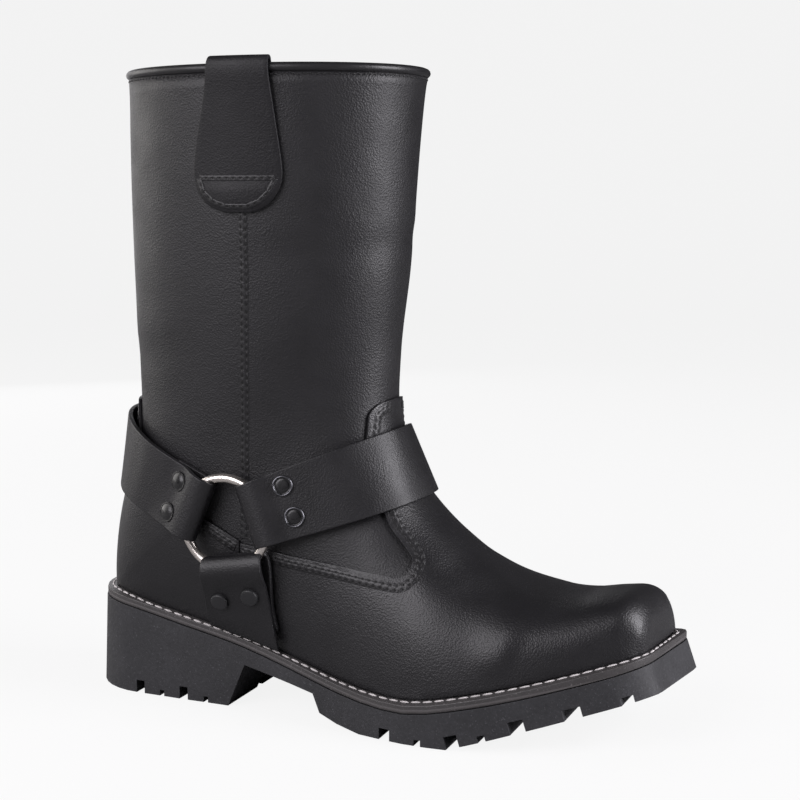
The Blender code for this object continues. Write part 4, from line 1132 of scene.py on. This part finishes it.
def make_rivets():
    trees = [piece_tree(node) for node in ("strap_rear", "strap_front", "strap_lower")]
    for number, (x, z) in enumerate(RIVETS):
        kind = number // 2
        place, normal = strike((x, -FAR, z), (0, 1, 0), trees[kind])
        work = profile(RIVET_CAPS[kind])
        turn_round(work, (0, 0, 1), RIVET_STEPS, WELD)
        rim = [edge for edge in work.edges if edge.is_boundary]
        bmesh.ops.contextual_create(work, geom=rim)
        bmesh.ops.recalc_face_normals(work, faces=work.faces)
        if RIVET_CAPS[kind] is SNAP:
            for face in work.faces:
                face.material_index = int(face.calc_center_median().xy.length > SNAP_RIM)
        turn = normal.to_track_quat("Z", "Y").to_matrix().to_4x4()
        bmesh.ops.transform(work, matrix=Matrix.Translation(place) @ turn, verts=work.verts)
        node = f"rivet_{number + 1}"
        add_piece(f"{node}_cap", work, [RIVET_PAINTS[kind], "rivet_rim"], [node], sharp=50)


# Collar and pull strap

def rim_frame(u):
    """The collar's rim at u and the level direction out of the boot there."""
    rim = last_point(u, LAST_ROW)
    after = last_point(u + 0.01 if u < 0.99 else -0.99, LAST_ROW)
    before = last_point(u - 0.01 if u > -0.99 else 0.99, LAST_ROW)
    outward = Vector(((after - before).y, -(after - before).x, 0)).normalized()
    if outward.dot(rim - Vector((COLLAR_MIDDLE, 0, rim.z))) < 0:
        outward = -outward
    return rim, outward


def make_binding():
    lines = []
    for i in range(SKIN_COLUMNS + 1):
        u = 2 * (i % SKIN_COLUMNS) / SKIN_COLUMNS - 1
        rim, outward = rim_frame(u)
        middle = rim - outward * WALL / 2 + Vector((0, 0, BINDING_HALF_HEIGHT - BINDING_OVER))
        line = []
        for k in range(BINDING_SIDES + 1):
            swing = 2 * math.pi * (k % BINDING_SIDES) / BINDING_SIDES
            line.append(middle + outward * BINDING_HALF_WIDTH * math.cos(swing)
                        + Vector((0, 0, BINDING_HALF_HEIGHT * math.sin(swing))))
        lines.append(line)
    work = grid(lines)
    bmesh.ops.remove_doubles(work, verts=work.verts, dist=WELD)
    bmesh.ops.recalc_face_normals(work, faces=work.faces)
    add_piece("collar_piping", work, ["binding"], ["collar_binding"])


def make_pull_strap():
    lines = []
    count = PULL_FINE * (len(PULL_STRAP) - 1)
    for n, row in enumerate(fine_rows(PULL_STRAP, count)):
        puff = PULL_PUFF * step(*PULL_PUFF_RISE, row.height) * (1 - step(*PULL_PUFF_FALL, row.height))
        line = []
        for i in range(PULL_COLUMNS + 1):
            share = i / PULL_COLUMNS
            x = row.rear + (row.front - row.rear) * share
            place, normal = strike((x, -FAR, min(row.height, PULL_ROOF)), (0, 1, 0))
            normal = Vector((normal.x, normal.y, 0)).normalized()
            swell = puff * (1 - (2 * share - 1) ** 4) if n < count / 2 else 0.0
            line.append(Vector((place.x, place.y, row.height)) + normal * (row.lift + swell))
        lines.append(line)
    strap = add_piece("pull_strap_leather", grid(lines), ["pull"], ["pull_strap"])
    thicken(strap, PULL_LEATHER, 1.0)
    soften(strap, 0.5)


# Inner side

def medial_sheet(rows, columns, lift):
    lines = []
    for row in rows:
        line = []
        for i in range(columns):
            x = row.rear + (row.front - row.rear) * i / (columns - 1)
            line.append(on_side(x, row.height, MEDIAL, lift(row.height)))
        lines.append(line)
    return grid(lines)


def zip_lift(height):
    share = share_of(*[PANEL_TOP + over for over in ZIP_CLIMB], height)
    return PIECE_LIFT + share * (GAP + OVERLAY)


def zip_rows(rear, front, foot):
    return [Strip(ZIP_TOP + (foot - ZIP_TOP) * i / ZIP_STEPS, rear, front) for i in range(ZIP_STEPS + 1)]


def make_zip():
    aside = CHAIN_HALF_WIDTH + GAP
    for name, rear, front in (
            ("zip_placket_rear", ZIP_LINE - aside - PLACKET_WIDTH, ZIP_LINE - aside),
            ("zip_placket_front", ZIP_LINE + aside, ZIP_LINE + aside + PLACKET_WIDTH)):
        rows = zip_rows(rear, front, welt_top((rear + front) / 2) + PLACKET_FOOT)
        sheet = medial_sheet(rows, PLACKET_COLUMNS, zip_lift)
        placket = add_piece(f"{name}_leather", sheet, ["placket"], [name])
        thicken(placket, PLACKET_LEATHER, 1.0)
        soften(placket, 0.4)
    rows = zip_rows(ZIP_LINE - CHAIN_HALF_WIDTH, ZIP_LINE + CHAIN_HALF_WIDTH, CHAIN_FOOT)
    chain = add_piece("zip_chain_tape", medial_sheet(rows, 2, zip_lift), ["tape"], ["zip_chain"])
    thicken(chain, CHAIN_HEIGHT, 1.0)


def make_flap():
    sheet = medial_sheet(fine_rows(PATCH_ROWS, PATCH_STEPS), PATCH_COLUMNS, lambda height: PIECE_LIFT)
    patch = add_piece("flap_patch_nap", sheet, ["patch"], ["flap_patch"])
    thicken(patch, PATCH_LEATHER, 1.0)
    soften(patch, 0.35)
    sheet = medial_sheet(fine_rows(FLAP_ROWS, FLAP_STEPS), FLAP_COLUMNS, lambda height: FLAP_LIFT)
    flap = add_piece("zip_flap_leather", sheet, ["strap"], ["zip_flap"])
    thicken(flap, FLAP_LEATHER, 1.0)
    soften(flap, 0.45)


# Stitches

Stitch = namedtuple("Stitch", "place normal along")


def along_run(run, spacing, first=0.0):
    """Places, normals and directions one spacing apart along a run of places and normals."""
    out = []
    carried = first
    for (a, a_normal), (b, b_normal) in zip(run, run[1:]):
        span = (b - a).length
        while carried < span:
            share = carried / span
            normal = a_normal.lerp(b_normal, share).normalized()
            out.append(Stitch(a.lerp(b, share), normal, (b - a).normalized()))
            carried += spacing
        carried -= span
    return out


def calm(run, reach=3):
    """The run with each normal averaged over its neighbours, so that facets don't show."""
    out = []
    for i, (place, _) in enumerate(run):
        near = run[max(0, i - reach):i + reach + 1]
        out.append((place, sum((normal for _, normal in near), Vector()).normalized()))
    return out


def dense(points, spacing=1.0):
    """A line of points filled up so that none are further apart than the spacing."""
    out = []
    for a, b in zip(points, points[1:]):
        steps = max(1, math.ceil((b - a).length / spacing))
        out += [a.lerp(b, i / steps) for i in range(steps)]
    return out + [points[-1]]


def beside(points, distance):
    """A line in x and z moved to its right by a distance."""
    out = []
    for i, here in enumerate(points):
        ahead = points[min(i + 1, len(points) - 1)] - points[max(i - 1, 0)]
        out.append(here + Vector((ahead.y, -ahead.x)).normalized() * distance)
    return out


def side_runs(tree, points, side):
    """Runs of places and normals where a line in x and z meets a surface, seen from one side."""
    runs, run = [], []
    for here in dense(points):
        place, normal = strike((here.x, side * FAR, here.y), (0, -side, 0), tree)
        if place is None:
            runs.append(run)
            run = []
        else:
            run.append((place, normal))
    runs.append(run)
    return [calm(run) for run in runs if len(run) > 2]


def sew(name, stitches, length, thick, paint_name):
    """Many stitches as one mesh: a small grain of thread repeated at every place."""
    grain = bmesh.new()
    bmesh.ops.create_uvsphere(grain, u_segments=STITCH_SIDES, v_segments=STITCH_RINGS, radius=0.5)
    knot = bpy.data.meshes.new("knot")
    grain.to_mesh(knot)
    grain.free()
    work = bmesh.new()
    for stitch in stitches:
        across = stitch.normal.cross(stitch.along).normalized()
        up = stitch.along.cross(across).normalized()
        turn = Matrix((across * thick, up * thick * STITCH_FLAT, stitch.along * length)).transposed()
        placed = knot.copy()
        placed.transform(Matrix.Translation(stitch.place) @ turn.to_4x4())
        work.from_mesh(placed)
        bpy.data.meshes.remove(placed)
    bpy.data.meshes.remove(knot)
    add_piece(name, work, [paint_name])


def seam_height(offset, travelled, rows, reach, pitch):
    """Height of the leather beside a seam, and how deep in a needle hole it is, from 0 to 1; the second is
    painted as shade on the leather.
    """
    number = min(range(len(rows)), key=lambda n: abs(offset - rows[n]))
    off_row = offset - rows[number]
    off_hole = (travelled - number * ROW_STAGGER * pitch + pitch / 2) % pitch - pitch / 2
    hole = math.exp(-(off_hole / HOLE_LENGTH) ** 2 - (off_row / HOLE_WIDTH) ** 2)
    groove = THREAD_GROOVE * math.exp(-(off_row / HOLE_WIDTH) ** 2)
    edge = step(SWELL_FLAT, 1.0, abs(offset) / reach)
    swell = SEAM_SWELL * (1 - edge) * (1 - max(hole, groove))
    return swell + SEAM_FLOOR - (SEAM_FLOOR + SEAM_SINK) * edge, hole


def seam(name, tree, runs, rows):
    """Rows of stitches along runs on a surface, with the leather that swells beside them."""
    pitch = sizes().seam_pitch / MM
    thick = sizes().seam_thread / MM
    reach = max(rows) + SEAM_MARGIN
    columns = 2 * math.ceil(reach / SEAM_STEP) + 1
    offsets = [reach * (2 * i / (columns - 1) - 1) for i in range(columns)]
    work = bmesh.new()
    stitches = []
    for run in runs:
        lines, hole_shade_marks = [], []
        for n, at in enumerate(along_run(run, SEAM_STEP)):
            across = at.normal.cross(at.along).normalized()
            levels = [seam_height(offset, n * SEAM_STEP, rows, reach, pitch) for offset in offsets]
            bases = [tree.find_nearest(at.place + across * offset)[0] for offset in offsets]
            lines.append([base + at.normal * height for base, (height, _) in zip(bases, levels)])
            # painted shade for each needle hole, which the seam's leather darkens
            hole_shade_marks.append([hole for _, hole in levels])
        grid(lines, work, hole_shade_marks)
        for number, offset in enumerate(rows):
            for at in along_run(run, pitch, (0.5 + number * ROW_STAGGER) * pitch):
                across = at.normal.cross(at.along).normalized()
                base = tree.find_nearest(at.place + across * offset)[0]
                stitches.append(Stitch(base + at.normal * THREAD_LIFT, at.normal, at.along))
    bmesh.ops.reverse_faces(work, faces=work.faces)
    thicken(add_piece(f"{name}_seam", work, ["seam"]), SEAM_SKIN, -1.0, even=False)
    sew(f"{name}_stitches", stitches, STITCH_SHARE * pitch, thick, "thread")


def outline_part(corners, first, last):
    """The stretch of a rounded outline between two places, in the outline's own direction."""
    points = rounded(corners)
    near = [min(range(len(points)), key=lambda n: (points[n] - Vector(place)).length)
            for place in (first, last)]
    return points[near[0]:near[1] + 1]


def make_panel_seams():
    vamp, counter, upper = (piece_tree(name) for name in ("vamp", "counter", "upper"))
    vamp_edge = outline_part(VAMP_OUTLINE, *VAMP_EDGE)
    counter_edge = outline_part(COUNTER_OUTLINE, *COUNTER_EDGE)
    for name, tree, line in (("vamp", vamp, beside(vamp_edge, SEAM_INSET)),
                             ("counter", counter, beside(counter_edge, -SEAM_INSET))):
        runs = side_runs(tree, line, LATERAL) + side_runs(tree, line, MEDIAL)
        seam(name, tree, runs, DOUBLE_ROW)
    line = [Vector(point) for point in SIDE_SEAM]
    seam("side", upper, side_runs(upper, line, LATERAL), DOUBLE_ROW)


def make_collar_seams():
    upper, pull = (piece_tree(name) for name in ("upper", "pull_strap"))
    run = []
    for i in range(COLLAR_STEPS + 1):
        turn = math.radians(360 * i / COLLAR_STEPS - 90)
        spoke = Vector((math.cos(turn), math.sin(turn), 0))
        run.append(strike(Vector((COLLAR_MIDDLE, 0, COLLAR_SEAM)) + spoke * FAR, -spoke, upper))
    pitch = sizes().collar_pitch / MM
    thick = sizes().seam_thread / MM
    sew("collar_stitches", along_run(calm(run), pitch), STITCH_SHARE * pitch, thick, "thread")
    end = [row for row in PULL_STRAP[:PULL_END_ROWS] if row.height < PULL_SEAM + 2]
    border = [Vector((row.rear, row.height)) for row in reversed(end)]
    border += [Vector((row.front, row.height)) for row in end]
    runs = side_runs(pull, beside(border, -PULL_SEAM_INSET), LATERAL)
    runs += side_runs(pull, [Vector((x, PULL_SEAM)) for x in PULL_SEAM_ENDS], LATERAL)
    seam("pull_strap", pull, runs, SINGLE_ROW)


def make_zip_seams():
    for name, edge in (("zip_placket_rear", -1), ("zip_placket_front", 1)):
        tree = piece_tree(name)
        x = ZIP_LINE + edge * (CHAIN_HALF_WIDTH + GAP + PLACKET_WIDTH - PLACKET_SEAM)
        line = [Vector((x, height)) for height in ZIP_SEAM_ENDS]
        seam(name, tree, side_runs(tree, line, MEDIAL), DOUBLE_ROW)
    tree = piece_tree("zip_flap")
    rows = fine_rows(FLAP_ROWS, FLAP_STEPS)
    rear = [Vector((row.rear, row.height)) for row in rows]
    front = [Vector((row.front, row.height)) for row in rows[1:-3]]
    runs = side_runs(tree, beside(rear, -SEAM_INSET), MEDIAL)
    runs += side_runs(tree, beside(front, SEAM_INSET), MEDIAL)
    seam("zip_flap", tree, runs, DOUBLE_ROW)


def make_strap_seams():
    for node, rise, ends in (
            ("strap_rear", REAR_RISE, REAR_ENDS), ("strap_front", FRONT_RISE, FRONT_ENDS)):
        tree = piece_tree(node)
        along, across = strap_axes(rise)
        border = []
        for spot in STRAP_END_SEAM:
            place = RING_CENTRE + along * (ends[-1].distance + spot.distance)
            place += across * (STRAP_HALF_WIDTH - STRAP_SEAM_INSET) * spot.share
            border.append(Vector((place.x, place.z)))
        seam(node, tree, side_runs(tree, border, MEDIAL), SINGLE_ROW)


def sole_edge():
    """Places once round the sole's edge in plan, with the station in z."""
    bend = [math.radians(90 * i / QUARTER_STEPS) for i in range(QUARTER_STEPS + 1)]
    side = TOE_CORNER - HEEL_CENTRE
    stations = [HEEL_CENTRE * (1 - math.cos(turn)) for turn in bend[:-1]]
    stations += [HEEL_CENTRE + side * i / SIDE_STEPS for i in range(SIDE_STEPS)]
    stations += [TOE_CORNER + (SOLE_LENGTH - TOE_CORNER) * math.sin(turn) for turn in bend]

    def raked(station):
        if station >= HEEL_CENTRE:
            lean = max(0.0, (station - TOE_LEAN_FROM) / (SOLE_LENGTH - TOE_LEAN_FROM))
            return station - TOE_LEAN * lean**2
        return HEEL_RAKE + station * (HEEL_CENTRE - HEEL_RAKE) / HEEL_CENTRE

    loop = [skewed(raked(s), LATERAL * sole_half_width(s, LATERAL), s) for s in stations]
    loop += [skewed(raked(s), MEDIAL * sole_half_width(s, MEDIAL), s) for s in reversed(stations)][:-1]
    return loop


def make_welt_seam():
    welt = piece_tree("welt")
    loop = sole_edge()
    run = []
    for i, edge in enumerate(loop):
        ahead = loop[(i + 1) % len(loop)] - loop[i - 1]
        outward = Vector((ahead.y, -ahead.x, 0)).normalized()
        if outward.dot(edge - Vector((SOLE_MIDDLE, 0, edge.z))) < 0:
            outward = -outward
        flat = Vector((edge.x, edge.y, 0))
        level = welt_top(edge.z) + WELT_CLEAR
        place, _ = strike(flat + outward * WELT_PROBE + Vector((0, 0, level)), -outward)
        if place is None:
            continue
        spot = place + outward * WELT_SEAM_OUT
        on_welt, normal = strike((spot.x, spot.y, FAR), (0, 0, -1), welt)
        if on_welt is not None:
            run.append((on_welt, normal))
    run.append(run[0])
    pitch = sizes().welt_pitch / MM
    stitches = along_run(calm(run), pitch)
    thick = sizes().welt_thread / MM
    sew("welt_stitches", stitches, WELT_STITCH_SHARE * pitch, thick, "welt_thread")


# Studio

def add_softbox(box, power):
    """A large light aimed at the boot, itself out of every picture."""
    light = bpy.data.lights.new(box.name, "AREA")
    light.shape = "RECTANGLE"
    light.size = box.width
    light.size_y = box.tall
    light.energy = power
    light.color = box.colour
    bearing = CAMERA_BEARING + math.radians(box.bearing)
    place = Vector((math.sin(bearing), -math.cos(bearing), 0)) * SOFTBOX_DISTANCE
    place.z = box.height
    made = add_object(box.name, light)
    made.location = place
    made.rotation_euler = (Vector((0, 0, SOFTBOX_AIM)) - place).to_track_quat("-Z", "Y").to_euler()
    made.visible_camera = False


def seen_or_lit(tree, shown, dim):
    """One shader for what the camera sees and another, dimmer one for the light it gives the boot."""
    ray = add_node(tree, "ShaderNodeLightPath").outputs["Is Camera Ray"]
    return add_node(tree, "ShaderNodeMixShader", {0: ray, 1: dim, 2: shown}).outputs[0]


def make_floor(look):
    """Round floor that sweeps up into a low wall on all sides."""
    work = profile(FLOOR_PROFILE)
    turn_round(work, (0, 0, 1), FLOOR_STEPS, 0.0001)
    mesh = bpy.data.meshes.new("floor")
    work.to_mesh(mesh)
    work.free()
    mesh.shade_smooth()
    made = bpy.data.materials.new("pale_floor")
    made.use_nodes = True
    tree = made.node_tree
    tree.nodes.remove(tree.nodes["Principled BSDF"])
    lit = [c * (1 - look.glow) for c in look.floor]
    cloth = add_node(tree, "ShaderNodeBsdfDiffuse", {"Color": (*lit, 1.0)}).outputs[0]
    glow = add_node(tree, "ShaderNodeEmission", {
        "Color": (*look.floor, 1.0), "Strength": look.glow}).outputs[0]
    shown = add_node(tree, "ShaderNodeAddShader", {0: cloth, 1: glow}).outputs[0]
    dim = add_node(tree, "ShaderNodeBsdfDiffuse", {"Color": (*[DIM_FLOOR] * 3, 1.0)}).outputs[0]
    tree.links.new(seen_or_lit(tree, shown, dim), tree.nodes["Material Output"].inputs["Surface"])
    mesh.materials.append(made)
    floor = add_object("floor", mesh)


def make_camera(look):
    lens = bpy.data.cameras.new("camera")
    lens.lens = look.lens
    lens.sensor_width = 36.0
    lens.clip_start = 0.02
    made = add_object("camera", lens)
    made.location = look.camera_place
    made.rotation_euler = (math.radians(90) - look.camera_dip, 0, look.camera_turn)
    bpy.context.scene.camera = made


def make_stage():
    look = bpy.context.scene.boot_studio
    make_floor(look)
    make_camera(look)
    for box in SOFTBOXES:
        add_softbox(box, box.share * look.key)
    world = bpy.data.worlds.new("studio")
    world.use_nodes = True
    tree = world.node_tree
    dim = tree.nodes["Background"]
    dim.inputs["Color"].default_value = (1, 1, 1, 1)
    dim.inputs["Strength"].default_value = look.surround
    shown = add_node(tree, "ShaderNodeBackground", {"Color": (*look.floor, 1.0), "Strength": look.glow})
    surface = seen_or_lit(tree, shown.outputs[0], dim.outputs[0])
    tree.links.new(surface, tree.nodes["World Output"].inputs["Surface"])
    bpy.context.scene.world = world
    bpy.context.scene.view_settings.view_transform = "Standard"


# Operators and panel

class BOOT_OT_mix_paints(bpy.types.Operator):
    """Makes the leathers, rubbers, threads and metals"""
    bl_idname = "boot.mix_paints"
    bl_label = "Materials"
    bl_options = {"REGISTER", "UNDO"}

    def execute(self, context):
        mix_paints()
        return {"FINISHED"}


class BOOT_OT_upper(bpy.types.Operator):
    """Lasts the hollow leather upper with its creases"""
    bl_idname = "boot.upper"
    bl_label = "Upper"
    bl_options = {"REGISTER", "UNDO"}

    def execute(self, context):
        make_upper()
        return {"FINISHED"}


class BOOT_OT_panels(bpy.types.Operator):
    """Cuts the vamp and the counter from the upper's own form"""
    bl_idname = "boot.panels"
    bl_label = "Panels"
    bl_options = {"REGISTER", "UNDO"}

    def execute(self, context):
        make_panels()
        return {"FINISHED"}


class BOOT_OT_sole(bpy.types.Operator):
    """Rounds the lug sole, its welt and the insole"""
    bl_idname = "boot.sole"
    bl_label = "Sole"
    bl_options = {"REGISTER", "UNDO"}

    def execute(self, context):
        make_sole()
        return {"FINISHED"}


class BOOT_OT_straps(bpy.types.Operator):
    """Folds the three harness straps round the ring and the boot"""
    bl_idname = "boot.straps"
    bl_label = "Straps"
    bl_options = {"REGISTER", "UNDO"}

    def execute(self, context):
        make_straps()
        return {"FINISHED"}


class BOOT_OT_ring(bpy.types.Operator):
    """Turns the harness ring"""
    bl_idname = "boot.ring"
    bl_label = "Ring"
    bl_options = {"REGISTER", "UNDO"}

    def execute(self, context):
        make_ring()
        return {"FINISHED"}


class BOOT_OT_rivets(bpy.types.Operator):
    """Turns the rivet caps and seats them on the straps"""
    bl_idname = "boot.rivets"
    bl_label = "Rivets"
    bl_options = {"REGISTER", "UNDO"}

    def execute(self, context):
        make_rivets()
        return {"FINISHED"}


class BOOT_OT_collar(bpy.types.Operator):
    """Rolls the collar's piping"""
    bl_idname = "boot.collar"
    bl_label = "Collar"
    bl_options = {"REGISTER", "UNDO"}

    def execute(self, context):
        make_binding()
        return {"FINISHED"}


class BOOT_OT_pull_strap(bpy.types.Operator):
    """Folds the pull strap over the collar"""
    bl_idname = "boot.pull_strap"
    bl_label = "Pull strap"
    bl_options = {"REGISTER", "UNDO"}

    def execute(self, context):
        make_pull_strap()
        return {"FINISHED"}


class BOOT_OT_zip(bpy.types.Operator):
    """Lays the zip and its two leather edges"""
    bl_idname = "boot.zip"
    bl_label = "Zip"
    bl_options = {"REGISTER", "UNDO"}

    def execute(self, context):
        make_zip()
        return {"FINISHED"}


class BOOT_OT_flap(bpy.types.Operator):
    """Lays the zip's flap and the patch behind it"""
    bl_idname = "boot.flap"
    bl_label = "Flap"
    bl_options = {"REGISTER", "UNDO"}

    def execute(self, context):
        make_flap()
        return {"FINISHED"}


class BOOT_OT_panel_seams(bpy.types.Operator):
    """Sews the vamp, the counter and the side seam"""
    bl_idname = "boot.panel_seams"
    bl_label = "Panel seams"
    bl_options = {"REGISTER", "UNDO"}

    def execute(self, context):
        make_panel_seams()
        return {"FINISHED"}


class BOOT_OT_collar_seams(bpy.types.Operator):
    """Sews the collar and the pull strap"""
    bl_idname = "boot.collar_seams"
    bl_label = "Collar seams"
    bl_options = {"REGISTER", "UNDO"}

    def execute(self, context):
        make_collar_seams()
        return {"FINISHED"}


class BOOT_OT_zip_seams(bpy.types.Operator):
    """Sews the zip's edges and the flap"""
    bl_idname = "boot.zip_seams"
    bl_label = "Zip seams"
    bl_options = {"REGISTER", "UNDO"}

    def execute(self, context):
        make_zip_seams()
        return {"FINISHED"}


class BOOT_OT_strap_seams(bpy.types.Operator):
    """Sews the straps' inner ends"""
    bl_idname = "boot.strap_seams"
    bl_label = "Strap seams"
    bl_options = {"REGISTER", "UNDO"}

    def execute(self, context):
        make_strap_seams()
        return {"FINISHED"}


class BOOT_OT_welt_seam(bpy.types.Operator):
    """Sews the welt with pale thread"""
    bl_idname = "boot.welt_seam"
    bl_label = "Welt seam"
    bl_options = {"REGISTER", "UNDO"}

    def execute(self, context):
        make_welt_seam()
        return {"FINISHED"}


class BOOT_OT_stage(bpy.types.Operator):
    """Sets the floor, the lights and the camera"""
    bl_idname = "boot.stage"
    bl_label = "Studio"
    bl_options = {"REGISTER", "UNDO"}

    def execute(self, context):
        make_stage()
        return {"FINISHED"}


OPERATORS = (
    BOOT_OT_mix_paints,
    BOOT_OT_upper,
    BOOT_OT_panels,
    BOOT_OT_sole,
    BOOT_OT_straps,
    BOOT_OT_ring,
    BOOT_OT_rivets,
    BOOT_OT_collar,
    BOOT_OT_pull_strap,
    BOOT_OT_zip,
    BOOT_OT_flap,
    BOOT_OT_panel_seams,
    BOOT_OT_collar_seams,
    BOOT_OT_zip_seams,
    BOOT_OT_strap_seams,
    BOOT_OT_welt_seam,
    BOOT_OT_stage,
)


class BOOT_PT_pieces(bpy.types.Panel):
    """Lists the boot's pieces, sizes and colours in the sidebar."""
    bl_label = "Boot"
    bl_idname = "BOOT_PT_pieces"
    bl_space_type = "VIEW_3D"
    bl_region_type = "UI"
    bl_category = "Boot"

    def draw(self, context):
        for group in (context.scene.boot_sizes, context.scene.boot_colours, context.scene.boot_studio):
            box = self.layout.box()
            for name in group.__annotations__:
                box.prop(group, name)
        for made in OPERATORS:
            self.layout.operator(made.bl_idname)


GROUPS = {"boot_sizes": BootSizes, "boot_colours": BootColours, "boot_studio": StudioLook}


def register():
    for group in (*GROUPS.values(), *OPERATORS, BOOT_PT_pieces):
        bpy.utils.register_class(group)
    for name, group in GROUPS.items():
        setattr(bpy.types.Scene, name, PointerProperty(type=group))


def unregister():
    for name in GROUPS:
        delattr(bpy.types.Scene, name)
    for group in reversed((*GROUPS.values(), *OPERATORS, BOOT_PT_pieces)):
        bpy.utils.unregister_class(group)


def main():
    register()
    bpy.ops.boot.mix_paints()
    bpy.ops.boot.upper()
    bpy.ops.boot.panels()
    bpy.ops.boot.sole()
    bpy.ops.boot.straps()
    bpy.ops.boot.ring()
    bpy.ops.boot.rivets()
    bpy.ops.boot.collar()
    bpy.ops.boot.pull_strap()
    bpy.ops.boot.zip()
    bpy.ops.boot.flap()
    bpy.ops.boot.panel_seams()
    bpy.ops.boot.collar_seams()
    bpy.ops.boot.zip_seams()
    bpy.ops.boot.strap_seams()
    bpy.ops.boot.welt_seam()
    bpy.ops.boot.stage()


if __name__ == "__main__":
    main()
